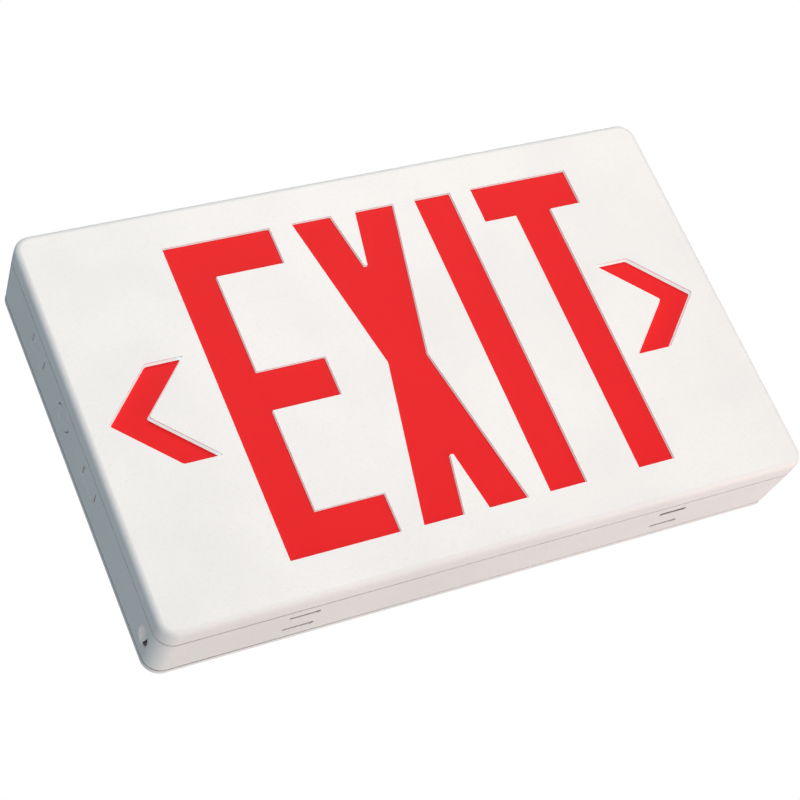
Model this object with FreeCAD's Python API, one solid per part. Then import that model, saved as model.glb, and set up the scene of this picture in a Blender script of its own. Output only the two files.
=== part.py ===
import FreeCAD, Part
import math
import os

os.makedirs("parts", exist_ok=True)

# Emergency exit light, single face, for a wall box. Millimetres.
# Origin at the centre of the back, X to the right, Y into the wall, Z up, face towards -Y.

# Legend: heavy block letters 6 inches high, and the margins that the sign leaves round them
LEGEND_H = 152.4
LETTER_W = 50.7
LETTER_GAP = 10.6
STROKE = 18.5
E_MIDDLE_BAR = 19.1
X_MOUTH = 12.1
X_NOTCH = 27.8
X_NOTCH_TIP = 1.5
X_WAIST = 19.5
MARGIN_LEFT = 61.6
MARGIN_RIGHT = 46.0
MARGIN_TOP = 19.3
MARGIN_BOTTOM = 18.3
LETTER_RECESS = 1.0
LETTER_GAP_TO_PAD = 0.2

# Whole sign
LETTER_WIDTHS = (LETTER_W, LETTER_W, STROKE, LETTER_W)
LEGEND_W = sum(LETTER_WIDTHS) + 3 * LETTER_GAP
WIDTH = MARGIN_LEFT + LEGEND_W + MARGIN_RIGHT
HEIGHT = MARGIN_BOTTOM + LEGEND_H + MARGIN_TOP
DEPTH = 41.0
CORNER_R = 8.0
TAPER = 0.8
SEAM = 0.3
CLEARANCE = 0.3

# Face cover
COVER_SKIRT = 9.5
COVER_T = 2.2
COVER_SKIRT_T = 2.0
FACE_EDGE_R = 2.8

# Back plate
PLATE_SKIRT = 3.5
PLATE_T = 2.2
BACK_CHAMFER = 1.0

# Housing frame
FRAME_T = 2.4
TONGUE_T = 1.4
FRONT_TONGUE = 5.0
TONGUE_ROOT = 5.0
TONGUE_END = 4.0

# Direction chevrons
CHEVRON_FROM_END = 11.8
CHEVRON_X = -1.1
CHEVRON_Z = -0.2
CHEVRON_HALF_H = 24.1
CHEVRON_BAND = 17.6
CHEVRON_CORNER_R = 0.9

# Red lens panel behind the face
LENS_T = 1.5
LENS_SIDE_GAP = 4.8
LENS_END_GAP = 9.8
LENS_CORNER_R = 3.0
STAKE_W = 3.0
STAKE_HEAD_W = 5.0
STAKE_HEAD_H = 0.9
STAKE_GAP = 0.1
STAKE_FROM_SIDE = 7.5
STAKE_FROM_END = 3.5

# Snap hooks and their slots, in two rows behind the face
HOOK_FROM_END = 65.0
HOOK_W = 12.0
HOOK_T = 1.6
HOOK_NOSE = 1.1
HOOK_NOSE_T = 0.8
HOOK_NOSE_RAMP = 0.5
SLOT_L = 14.0
SLOT_H = 1.8
FRONT_SLOT_FROM_FACE = 16.0
REAR_SLOT_FROM_BACK = 13.0
CHANNEL_SKIN = 1.3
CHANNEL_SIDE_GAP = 1.4

# Knock-outs of the end and top mounting pattern
KNOCK_FROM_FACE = 19.8
KNOCK_END_Z = 17.5
KNOCK_PITCH = 32.2
KNOCK_RECT_L = 15.2
KNOCK_RECT_W = 8.6
KNOCK_ROUND_R = 6.7
KNOCK_GROOVE_W = 0.8
KNOCK_GROOVE_D = 0.5

# Release notch low on the left wall
NOTCH_FROM_FACE = 23.0
NOTCH_Z = -82.0
NOTCH_BALL_R = 4.6
NOTCH_DEPTH = 2.0
NOTCH_HOLE_W = 2.8
NOTCH_HOLE_H = 3.0
NOTCH_HOLE_DROP = 2.9

# Wall box interfaces of the back plate
WIRE_ENTRY_R = 11.1
COLLAR_T = 2.4
COLLAR_H = 3.0
OCTAGON_SPACING = 88.9
OCTAGON_HOLE_R = 2.5
GANG_SPACING = 83.3
GANG_SLOT_R = 2.3
GANG_SLOT_L = 9.0
SCORE_W = 0.8
SCORE_D = 0.6
SCORE_RING_R = 17.5

# Light strips
STRIP_FROM_END = 30.0
STRIP_W = 12.0
STRIP_T = 1.6
STRIP_FROM_BACK = 14.0
STRIP_STANDOFF = 6.0
STRIP_GAP = 0.1
CLIP_PITCH = 60.0
CLIP_W = 6.0
CLIP_WALL = 1.6
CLIP_LIP = 1.5
CLIP_LIP_T = 1.2
LED_COUNT = 8
LED_FROM_STRIP_END = 20.0
LED_SIZE = 5.0
LED_H = 1.6
LED_RIM = 0.8
LED_WELL = 0.5

# Charger board and what stands on it
BOARD_W = 78.0
BOARD_H = 96.0
BOARD_T = 1.6
BOARD_EDGE_FROM_END = 21.0
BOARD_Z = 0.0
BOARD_STANDOFF = 7.0
BOARD_HOLE_INSET = 4.5
STANDOFF_R = 3.4
SCREW_R = 1.3
SCREW_HEAD_R = 2.6
SCREW_HEAD_H = 1.7
SCREW_BITE = 4.0
HOLE_GAP = 0.05

# Parts of the board: nearest corner and how far in from it, then width, height along Z and depth
CORE_AT = (-1, 1, 25.0, 26.0)
CORE_W = 32.0
CORE_H = 27.0
CORE_T = 14.0
CORE_LIMB = 6.5
CORE_MIDDLE_LIMB = 7.0
COIL_T = 19.0
COIL_GAP = 0.3
CORE_FOOT = 4.0
MAIN_CAP_AT = (-1, -1, 11.0, 10.0)
MAIN_CAP_R = 5.0
MAIN_CAP_H = 13.0
FILTER_CAP_AT = (1, -1, 29.0, 52.0)
FILTER_CAP_R = 4.0
FILTER_CAP_H = 10.0
RELAY_AT = (-1, -1, 36.0, 28.0)
RELAY = (15.0, 19.0, 13.0)
TERMINAL_AT = (-1, -1, 6.0, 28.0)
TERMINAL = (10.0, 22.0, 10.0)
TERMINAL_WAYS = 3
TERMINAL_WELL = 4.0
TERMINAL_WELL_D = 2.5
TERMINAL_MOUTH_H = 4.0
TERMINAL_MOUTH_LIFT = 2.0
SINK_AT = (1, 1, 16.0, 26.0)
SINK_BASE = (2.0, 26.0, 18.0)
FIN_COUNT = 5
FIN_L = 8.0
FIN_T = 1.4
REGULATOR = (4.8, 10.0, 14.0)
REGULATOR_TAB = (1.4, 10.0, 17.0)
FUSE_AT = (-1, -1, 39.0, 10.0)
FUSE = (8.5, 8.5, 8.0)
FILM_CAP_AT = (-1, -1, 26.0, 10.0)
FILM_CAP = (13.0, 6.0, 11.0)
CHIP_AT = (1, -1, 17.0, 32.0)
CHIP = (6.5, 10.0, 3.5)
RECTIFIER_AT = (-1, -1, 55.0, 15.0)
RECTIFIER = (8.5, 6.5, 6.0)

# Battery pack of three cells side by side
CELL_R = 7.15
CELL_L = 50.0
CELL_COUNT = 3
BATTERY_FROM_END = 49.0
BATTERY_Z = 6.0
WRAP_T = 0.25
CRADLE_T = 1.6
CRADLE_WALL_H = 9.0
CRADLE_GAP = 0.2
CRADLE_MOUTH = 24.0
STRAP_T = 0.8
STRAP_W = 10.0
STRAP_FOOT = 9.0
STRAP_GAP = 0.1
STRAP_CORNER = 4.0
STRAP_BITE = 2.0
PAD_W = 7.0

# Flat twin leads
LEAD_W = 2.8
LEAD_T = 1.3
LEAD_BEND_R = 5.0
LEAD_LEAVES = 12.0
LEAD_MOUTH_Z = -8.0
LEAD_BELOW_BOARD = 10.0
LEAD_RIB_X = (-40.0, 30.0)
LEAD_RIB = (3.0, 8.0)
LEAD_LIFT = 1.2
PLUG = (6.0, 5.0, 4.0)
BATTERY_PLUG_AT = (-1, -1, 15.0, 14.0)
STRIP_PLUG_AT = (15.0, 4.0)

# Test button and pilot light in the right wall
BUTTON_Z = -34.0
BUTTON_R = 4.2
BUTTON_SUNK = 0.4
BUTTON_L = 9.0
BUTTON_COLLAR_R = 5.2
BUTTON_COLLAR_T = 1.2
BUTTON_COLLAR_GAP = 0.1
SWITCH_SIZE = 13.0
SWITCH_DEPTH = 16.0
SWITCH_FLOOR = 2.0
SWITCH_PAD_T = 1.2
SWITCH_TAG_W = 0.8
SWITCH_TAG_PITCH = 6.0
SWITCH_TAG_REACH = 4.0
SPRING_W = 3.0
SPRING_T = 0.3
SPRING_FOOT = 3.6
PILOT_RISE = 18.0
PILOT_R = 2.5
PILOT_GAP = 0.1
PILOT_FLANGE_R = 3.2
PILOT_FLANGE_T = 1.2
PILOT_LEG = 0.6
PILOT_LEG_PITCH = 2.5

# Places that follow from the sizes
FACE_Y = -DEPTH
COVER_IN_Y = FACE_Y + COVER_T
FRAME_FRONT_Y = FACE_Y + COVER_SKIRT + SEAM
FRAME_BACK_Y = -PLATE_SKIRT - SEAM
PLATE_IN_Y = -PLATE_T
LENS_BACK_Y = COVER_IN_Y + LENS_T
FRONT_SLOT_Y = FACE_Y + FRONT_SLOT_FROM_FACE
REAR_SLOT_Y = -REAR_SLOT_FROM_BACK
HOOK_OFFSET = FRAME_T + CLEARANCE
BOARD_BACK_Y = PLATE_IN_Y - BOARD_STANDOFF
BOARD_FRONT_Y = BOARD_BACK_Y - BOARD_T
STRIP_Y = -STRIP_FROM_BACK
LEGEND_Z = (MARGIN_BOTTOM - MARGIN_TOP) / 2
LENS_REACH_X = WIDTH / 2 - COVER_SKIRT_T - LENS_SIDE_GAP
LENS_REACH_Z = HEIGHT / 2 - COVER_SKIRT_T - LENS_END_GAP
CHEVRON_REACH = WIDTH / 2 - CHEVRON_FROM_END
HOOK_X = WIDTH / 2 - HOOK_FROM_END
STRIP_L = WIDTH - 2 * STRIP_FROM_END
LED_PITCH = (STRIP_L - 2 * LED_FROM_STRIP_END) / (LED_COUNT - 1)
BOARD_X = WIDTH / 2 - BOARD_EDGE_FROM_END - BOARD_W / 2
BATTERY_X = BATTERY_FROM_END - WIDTH / 2


def vec(x, y, z):
    return FreeCAD.Vector(x, y, z)


# Shape helpers

def box(x0, x1, y0, y1, z0, z1):
    """A box between two corners, given as pairs of limits."""
    return Part.makeBox(x1 - x0, y1 - y0, z1 - z0, vec(x0, y0, z0))


def centred_box(cx, cz, w, h, y0, y1):
    """A box centred on (cx, cz) in the plane of the face, from y0 to y1."""
    return box(cx - w / 2, cx + w / 2, y0, y1, cz - h / 2, cz + h / 2)


def post(x, z, r, y0, y1):
    """A round bar along Y."""
    return Part.makeCylinder(r, y1 - y0, vec(x, y0, z), vec(0, 1, 0))


def rounded_wire(w, h, r, y, cx=0.0, cz=0.0):
    """A rounded rectangle in the plane of the face."""
    x0, x1 = cx - w / 2, cx + w / 2
    z0, z1 = cz - h / 2, cz + h / 2
    k = r * (1 - math.sqrt(0.5))
    corners = (
        ((x1 - r, z0), (x1 - k, z0 + k), (x1, z0 + r)),
        ((x1, z1 - r), (x1 - k, z1 - k), (x1 - r, z1)),
        ((x0 + r, z1), (x0 + k, z1 - k), (x0, z1 - r)),
        ((x0, z0 + r), (x0 + k, z0 + k), (x0 + r, z0)),
    )
    edges = []
    last = corners[-1][2]
    for start, middle, end in corners:
        edges.append(Part.makeLine(vec(last[0], y, last[1]), vec(start[0], y, start[1])))
        arc = Part.Arc(*[vec(p[0], y, p[1]) for p in (start, middle, end)])
        edges.append(arc.toShape())
        last = end
    return Part.Wire(edges)


def rounded_block(w, h, r, y0, y1, cx=0.0, cz=0.0):
    """A block with rounded corners in plan, from y0 to y1."""
    return Part.Face(rounded_wire(w, h, r, y0, cx, cz)).extrude(vec(0, y1 - y0, 0))


def inset_at(y):
    """How far the tapered sides have come in at this depth."""
    return TAPER * (y - FRAME_FRONT_Y) / (FRAME_BACK_Y - FRAME_FRONT_Y)


def wedge(half, y0, y1, along):
    """A long prism whose two sides follow the taper; along is the direction it runs in."""
    a = half - inset_at(y0)
    b = half - inset_at(y1)
    corners = ((-a, y0), (a, y0), (b, y1), (-b, y1), (-a, y0))
    reach = WIDTH
    if along == "z":
        points = [vec(u, y, -reach) for u, y in corners]
        return Part.Face(Part.makePolygon(points)).extrude(vec(0, 0, 2 * reach))
    points = [vec(-reach, y, u) for u, y in corners]
    return Part.Face(Part.makePolygon(points)).extrude(vec(2 * reach, 0, 0))


def tapered_block(offset, y0, y1):
    """The housing's tapered outside from y0 to y1, pulled in by offset all round."""
    block = wedge(WIDTH / 2 - offset, y0, y1, "z").common(wedge(HEIGHT / 2 - offset, y0, y1, "x"))
    corners = [e for e in block.Edges if e.BoundBox.YLength > (y1 - y0) / 2]
    return block.makeFillet(CORNER_R - offset, corners)


def tongue(y0, y1, pull):
    """Straight locating ribs along the four walls, just inside the skirt that they centre."""
    outer = pull + COVER_SKIRT_T + CLEARANCE
    half_x = WIDTH / 2 - outer
    half_z = HEIGHT / 2 - outer
    long_x = WIDTH / 2 - CORNER_R - TONGUE_END
    long_z = HEIGHT / 2 - CORNER_R - TONGUE_END
    ribs = []
    for s in (-1, 1):
        low, high = sorted((s * half_z, s * (half_z - TONGUE_T)))
        ribs.append(box(-long_x, long_x, y0, y1, low, high))
        low, high = sorted((s * half_x, s * (half_x - TONGUE_T)))
        ribs.append(box(low, high, y0, y1, -long_z, long_z))
    return ribs


def inset_polygon(points, d):
    """The polygon (x, z points, anticlockwise) with every side moved inwards by d."""
    moved = []
    n = len(points)
    for i in range(n):
        (ax, az), (bx, bz), (cx, cz) = points[i - 1], points[i], points[(i + 1) % n]
        ux, uz = bx - ax, bz - az
        vx, vz = cx - bx, cz - bz
        lu, lv = math.hypot(ux, uz), math.hypot(vx, vz)
        ux, uz, vx, vz = ux / lu, uz / lu, vx / lv, vz / lv
        turn = ux * vz - uz * vx
        # the two moved sides meet along the sum of the side directions
        moved.append((bx + d * (vx - ux) / turn, bz + d * (vz - uz) / turn))
    return moved


def rounded_polygon(points, r, y0, y1):
    """A block from y0 to y1 whose outline is the polygon with its corners rounded by r."""
    n = len(points)
    arcs = []
    for i in range(n):
        p = vec(points[i][0], y0, points[i][1])
        before = vec(points[i - 1][0], y0, points[i - 1][1]) - p
        after = vec(points[(i + 1) % n][0], y0, points[(i + 1) % n][1]) - p
        before.normalize()
        after.normalize()
        half = before.getAngle(after) / 2
        middle = before + after
        middle.normalize()
        run = r / math.tan(half)
        deep = r / math.sin(half) - r
        arcs.append((p + before * run, p + middle * deep, p + after * run))
    edges = []
    for i in range(n):
        edges.append(Part.makeLine(arcs[i - 1][2], arcs[i][0]))
        edges.append(Part.Arc(*arcs[i]).toShape())
    return Part.Face(Part.Wire(edges)).extrude(vec(0, y1 - y0, 0))


def slot_block(cx, cz, length, r, y0, y1):
    """A round-ended bar for a slot that runs along Z."""
    straight = length - 2 * r
    body = centred_box(cx, cz, 2 * r, straight, y0, y1)
    ends = [post(cx, cz + s * straight / 2, r, y0, y1) for s in (-1, 1)]
    return body.fuse(ends)


def edges_at(shape, y):
    """The edges of a shape that lie in the plane at this depth."""
    return [e for e in shape.Edges if abs(e.BoundBox.YMin - y) < 1e-4 and abs(e.BoundBox.YMax - y) < 1e-4]


def straight_polygon(points, y0, y1):
    """A block from y0 to y1 whose outline is the polygon."""
    corners = [vec(x, y0, z) for x, z in points]
    return Part.Face(Part.makePolygon(corners + corners[:1])).extrude(vec(0, y1 - y0, 0))


def save(name, shape):
    shape = shape.removeSplitter()
    shape.exportStep("parts/" + name + ".step")


# Outlines of the legend, as anticlockwise points from the legend's centre

def letter_left(index):
    """Left edge of letter 0 to 3 of the legend."""
    return MARGIN_LEFT - WIDTH / 2 + sum(LETTER_WIDTHS[:index]) + index * LETTER_GAP


def letter_e():
    x0 = letter_left(0)
    x1 = x0 + LETTER_W
    xs = x0 + STROKE
    h = LEGEND_H / 2
    m = E_MIDDLE_BAR / 2
    return [(x0, -h), (x1, -h), (x1, -h + STROKE), (xs, -h + STROKE), (xs, -m), (x1, -m),
            (x1, m), (xs, m), (xs, h - STROKE), (x1, h - STROKE), (x1, h), (x0, h)]


def letter_x():
    x0 = letter_left(1)
    x1 = x0 + LETTER_W
    middle = (x0 + x1) / 2
    m = X_MOUTH / 2
    t = X_NOTCH_TIP / 2
    w = X_WAIST / 2
    h = LEGEND_H / 2
    n = h - X_NOTCH
    return [(x0, -h), (middle - m, -h), (middle - t, -n), (middle + t, -n), (middle + m, -h), (x1, -h),
            (middle + w, 0.0), (x1, h), (middle + m, h), (middle + t, n), (middle - t, n),
            (middle - m, h), (x0, h), (middle - w, 0.0)]


def letter_i():
    x0 = letter_left(2)
    x1 = x0 + STROKE
    h = LEGEND_H / 2
    return [(x0, -h), (x1, -h), (x1, h), (x0, h)]


def letter_t():
    x0 = letter_left(3)
    x1 = x0 + LETTER_W
    middle = (x0 + x1) / 2
    s = STROKE / 2
    h = LEGEND_H / 2
    return [(middle - s, -h), (middle + s, -h), (middle + s, h - STROKE), (x1, h - STROKE),
            (x1, h), (x0, h), (x0, h - STROKE), (middle - s, h - STROKE)]


def legend_outlines():
    """The four letters, in the row's X and Z."""
    letters = (letter_e(), letter_x(), letter_i(), letter_t())
    return [[(x, z + LEGEND_Z) for x, z in letter] for letter in letters]


def chevron_outline(side):
    """An arrow head without a shaft, pointing to side -1 or 1."""
    tip = CHEVRON_REACH
    h = CHEVRON_HALF_H
    points = [(tip - h - CHEVRON_BAND, -h), (tip - h, -h), (tip, 0.0),
              (tip - h, h), (tip - h - CHEVRON_BAND, h), (tip - CHEVRON_BAND, 0.0)]
    points = [(CHEVRON_X + side * x, CHEVRON_Z + z) for x, z in points]
    return points if side > 0 else points[::-1]


def stake_places():
    """Where the lens is staked to the face: the corners, the letter gaps and beside the chevrons."""
    x = LENS_REACH_X - STAKE_FROM_SIDE
    z = LENS_REACH_Z - STAKE_FROM_END
    places = [(sx * x, sz * z) for sx in (-1, 1) for sz in (-1, 1)]
    places += [(letter_left(i) - LETTER_GAP / 2, sz * z) for i in (1, 3) for sz in (-1, 1)]
    return places


# Snap hooks: an arm along the wall with a nose that stands in the wall's slot

def snap_hook(side_x, side_z, root_y, slot_y):
    """A hook at one of the four places, from root_y to its slot."""
    z_out = HEIGHT / 2 - inset_at(slot_y) - HOOK_OFFSET
    z_in = z_out - HOOK_T
    z_nose = z_out + HOOK_NOSE
    toward = 1 if slot_y > root_y else -1
    nose_y = slot_y - toward * HOOK_NOSE_T / 2
    flat_y = slot_y + toward * HOOK_NOSE_T / 2
    end_y = flat_y + toward * HOOK_NOSE_RAMP
    outline = [(root_y, z_in), (root_y, z_out), (nose_y, z_out), (nose_y, z_nose),
               (flat_y, z_nose), (end_y, z_out), (end_y, z_in)]
    points = [vec(side_x * HOOK_X - HOOK_W / 2, y, side_z * z) for y, z in outline]
    face = Part.Face(Part.makePolygon(points + points[:1]))
    return face.extrude(vec(HOOK_W, 0, 0))


def hook_places():
    return [(sx, sz) for sx in (-1, 1) for sz in (-1, 1)]


# Face cover: one white moulding with the legend and the chevrons cut through

def make_face_cover():
    shell = rounded_block(WIDTH, HEIGHT, CORNER_R, FACE_Y, FACE_Y + COVER_SKIRT)
    shell = shell.makeFillet(FACE_EDGE_R, edges_at(shell, FACE_Y))
    inside = rounded_block(WIDTH - 2 * COVER_SKIRT_T, HEIGHT - 2 * COVER_SKIRT_T,
                           CORNER_R - COVER_SKIRT_T, COVER_IN_Y, FACE_Y + COVER_SKIRT)
    cover = shell.cut(inside)
    cutters = []
    for outline in legend_outlines():
        cutters.append(straight_polygon(outline, FACE_Y - 1, COVER_IN_Y + 1))
    for side in (-1, 1):
        cutters.append(rounded_polygon(chevron_outline(side), CHEVRON_CORNER_R,
                                       FACE_Y - 1, COVER_IN_Y + 1))
    cover = cover.cut(cutters)
    additions = []
    for x, z in stake_places():
        additions.append(centred_box(x, z, STAKE_W, STAKE_W, COVER_IN_Y, LENS_BACK_Y))
        additions.append(centred_box(x, z, STAKE_HEAD_W, STAKE_HEAD_W, LENS_BACK_Y, LENS_BACK_Y + STAKE_HEAD_H))
    for sx, sz in hook_places():
        additions.append(snap_hook(sx, sz, COVER_IN_Y, FRONT_SLOT_Y))
    return cover.fuse(additions)


# Red lens panel: a sheet behind the face with raised letters that fill the openings

def make_legend_lens():
    lens = rounded_block(2 * LENS_REACH_X, 2 * LENS_REACH_Z, LENS_CORNER_R, COVER_IN_Y, LENS_BACK_Y)
    pads = []
    for outline in legend_outlines():
        inner = inset_polygon(outline, LETTER_GAP_TO_PAD)
        pads.append(straight_polygon(inner, FACE_Y + LETTER_RECESS, COVER_IN_Y))
    lens = lens.fuse(pads)
    hole_w = STAKE_W + 2 * STAKE_GAP
    holes = [centred_box(x, z, hole_w, hole_w, COVER_IN_Y - 1, LENS_BACK_Y + 1) for x, z in stake_places()]
    return lens.cut(holes)


# Housing frame: the tapered ring between the cover and the back plate

def knock_rect(u, along, y, wall_out, side):
    """Groove of a rectangular knock-out, with slits through the wall at its two ends."""
    half_l = KNOCK_RECT_L / 2
    half_w = KNOCK_RECT_W / 2
    g = KNOCK_GROOVE_W
    outer = (2 * half_l, 2 * half_w)
    cuts = []
    groove = wall_piece(along, side, wall_out, KNOCK_GROOVE_D, u, y, outer[0], outer[1])
    core = wall_piece(along, side, wall_out, KNOCK_GROOVE_D, u, y, outer[0] - 2 * g, outer[1] - 2 * g)
    cuts.append(groove.cut(core))
    for s in (-1, 1):
        cuts.append(wall_piece(along, side, wall_out, 2 * FRAME_T, u + s * (half_l - g / 2), y,
                               g, outer[1] - 3 * g))
    return cuts


def wall_piece(along, side, wall_out, depth, u, y, length, width):
    """A block that reaches depth into a wall. along names the wall's own direction, Z or X."""
    low, high = sorted((side * (wall_out + 1.0), side * (wall_out - depth)))
    if along == "z":
        return box(low, high, y - width / 2, y + width / 2, u - length / 2, u + length / 2)
    return box(u - length / 2, u + length / 2, y - width / 2, y + width / 2, low, high)


def wall_disc(along, side, wall_out, depth, u, y, r):
    """A round block that reaches depth into a wall."""
    start = side * (wall_out + 1.0)
    if along == "z":
        return Part.makeCylinder(r, depth + 1.0, vec(start, y, u), vec(-side, 0, 0))
    return Part.makeCylinder(r, depth + 1.0, vec(u, y, start), vec(0, 0, -side))


def knock_round(u, along, y, wall_out, side):
    """Groove of the round knock-out, cut through in two arcs and left whole at two webs."""
    g = KNOCK_GROOVE_W
    r = KNOCK_ROUND_R
    shallow = wall_disc(along, side, wall_out, KNOCK_GROOVE_D, u, y, r)
    shallow = shallow.cut(wall_disc(along, side, wall_out, KNOCK_GROOVE_D, u, y, r - g))
    deep = wall_disc(along, side, wall_out, 2 * FRAME_T, u, y, r)
    deep = deep.cut(wall_disc(along, side, wall_out, 2 * FRAME_T, u, y, r - g))
    web = wall_piece(along, side, wall_out, 2 * FRAME_T, u, y, 1.2 * r, 2 * r + 2)
    return [shallow, deep.cut(web)]


def mounting_knock_outs(along, side, centre_u, wall_out):
    """A round knock-out for the supply wires between two rectangular ones."""
    y = FACE_Y + KNOCK_FROM_FACE
    cuts = knock_round(centre_u, along, y, wall_out, side)
    for s in (-1, 1):
        cuts += knock_rect(centre_u + s * KNOCK_PITCH, along, y, wall_out, side)
    return cuts


def frame_slots():
    """The hook slots in the top and bottom walls, and the channels that lead to them."""
    cuts = []
    for sx, sz in hook_places():
        for slot_y in (FRONT_SLOT_Y, REAR_SLOT_Y):
            wall = HEIGHT / 2
            low, high = sorted((sz * (wall + 1), sz * (wall - FRAME_T - TONGUE_T - 2)))
            cuts.append(box(sx * HOOK_X - SLOT_L / 2, sx * HOOK_X + SLOT_L / 2,
                            slot_y - SLOT_H / 2, slot_y + SLOT_H / 2, low, high))
        # channels from the front rim and from the back rim
        half = HOOK_W / 2 + CHANNEL_SIDE_GAP
        for y0, y1 in ((FRAME_FRONT_Y - FRONT_TONGUE - 1, FRONT_SLOT_Y + SLOT_H / 2),
                       (REAR_SLOT_Y - SLOT_H / 2, FRAME_BACK_Y + 3)):
            skin = HEIGHT / 2 - inset_at((y0 + y1) / 2) - CHANNEL_SKIN
            low, high = sorted((sz * skin, sz * (skin - FRAME_T - TONGUE_T - 1)))
            cuts.append(box(sx * HOOK_X - half, sx * HOOK_X + half, y0, y1, low, high))
    return cuts


def strip_z():
    """Height of the outer face of a light strip above the middle."""
    return HEIGHT / 2 - inset_at(STRIP_Y) - FRAME_T - STRIP_STANDOFF


def strip_clips(sz):
    """C-shaped clips on the top or bottom wall, which grip a strip by its long edges."""
    clips = []
    root = HEIGHT / 2 - inset_at(STRIP_Y) - FRAME_T / 2
    seat = strip_z() - STRIP_T - STRIP_GAP
    for i in (-1, 0, 1):
        x0 = i * CLIP_PITCH - CLIP_W / 2
        x1 = x0 + CLIP_W
        half = STRIP_W / 2 + STRIP_GAP
        low, high = sorted((sz * (seat - CLIP_LIP_T), sz * root))
        body = box(x0, x1, STRIP_Y - half - CLIP_WALL, STRIP_Y + half + CLIP_WALL, low, high)
        low, high = sorted((sz * seat, sz * strip_z()))
        groove = box(x0 - 1, x1 + 1, STRIP_Y - half, STRIP_Y + half, low, high)
        low, high = sorted((sz * (seat - CLIP_LIP_T - 1), sz * seat))
        mouth = box(x0 - 1, x1 + 1, STRIP_Y - half + CLIP_LIP, STRIP_Y + half - CLIP_LIP, low, high)
        clips.append(body.cut([groove, mouth]))
    return clips


def button_y():
    """Depth of the button's axis: the middle of the frame's right wall."""
    return (FRAME_FRONT_Y + FRAME_BACK_Y) / 2


def right_wall_out():
    return WIDTH / 2 - inset_at(button_y())


def switch_face_x():
    """The flat pad inside the right wall on which the test switch stands."""
    return right_wall_out() - FRAME_T - SWITCH_PAD_T


def make_housing_frame():
    outside = tapered_block(0.0, FRAME_FRONT_Y, FRAME_BACK_Y)
    inside = tapered_block(FRAME_T, FRAME_FRONT_Y - 1, FRAME_BACK_Y + 1)
    frame = outside.cut(inside)
    front = tongue(FRAME_FRONT_Y - FRONT_TONGUE, FRAME_FRONT_Y + TONGUE_ROOT, 0.0)
    back = tongue(FRAME_BACK_Y - TONGUE_ROOT, PLATE_IN_Y - CLEARANCE, TAPER)
    pad_z = BUTTON_Z + PILOT_RISE / 2
    pad = box(switch_face_x(), right_wall_out() - FRAME_T / 2, button_y() - SWITCH_SIZE / 2 - 1,
              button_y() + SWITCH_SIZE / 2 + 1, pad_z - PILOT_RISE, pad_z + PILOT_RISE)
    frame = frame.fuse(front + back + [pad] + strip_clips(1) + strip_clips(-1))
    left_out = WIDTH / 2 - inset_at(FACE_Y + KNOCK_FROM_FACE)
    top_out = HEIGHT / 2 - inset_at(FACE_Y + KNOCK_FROM_FACE)
    cuts = mounting_knock_outs("z", -1, KNOCK_END_Z, left_out)
    cuts += mounting_knock_outs("x", 1, 0.0, top_out)
    cuts += frame_slots()
    cuts += notch_cuts()
    # room for the switch between the tongues
    room = SWITCH_SIZE / 2 + CLEARANCE
    cuts.append(box(switch_back_x(), switch_face_x(), button_y() - room, button_y() + room,
                    BUTTON_Z - room, BUTTON_Z + room))
    reach = right_wall_out() + 1
    for z, r in ((BUTTON_Z, BUTTON_R + CLEARANCE), (BUTTON_Z + PILOT_RISE, PILOT_R + PILOT_GAP)):
        cuts.append(Part.makeCylinder(r, reach - switch_face_x() + 1, vec(reach, button_y(), z), vec(-1, 0, 0)))
    return frame.cut(cuts)


def notch_cuts():
    """A scooped release notch with a hole at its lower end."""
    y = FACE_Y + NOTCH_FROM_FACE
    wall = -(WIDTH / 2 - inset_at(y))
    ball = Part.makeSphere(NOTCH_BALL_R, vec(wall - NOTCH_BALL_R + NOTCH_DEPTH, y, NOTCH_Z))
    hole = box(wall - 1, wall + 2 * FRAME_T, y - NOTCH_HOLE_W / 2, y + NOTCH_HOLE_W / 2,
               NOTCH_Z - NOTCH_HOLE_DROP, NOTCH_Z - NOTCH_HOLE_DROP + NOTCH_HOLE_H)
    return [ball, hole]


# Back plate: closes the housing and fits a wall box

def board_corners(rising):
    """Two opposite corners of the board: with rising the screwed ones, else the ones that only rest."""
    dx = BOARD_W / 2 - BOARD_HOLE_INSET
    dz = BOARD_H / 2 - BOARD_HOLE_INSET
    tilt = 1 if rising else -1
    return [(BOARD_X + s * dx, BOARD_Z + s * tilt * dz) for s in (-1, 1)]


def battery_size():
    """Length, height and depth of the wrapped pack."""
    r = CELL_R + WRAP_T
    return CELL_L + 2 * WRAP_T, 2 * CELL_R * CELL_COUNT + 2 * WRAP_T, 2 * r


def strap_screws():
    """Screw places of the battery strap, above and below the cradle."""
    reach = battery_size()[1] / 2 + CRADLE_T + STRAP_FOOT / 2 + STRAP_T
    return [(BATTERY_X, BATTERY_Z + s * reach) for s in (-1, 1)]


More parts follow.
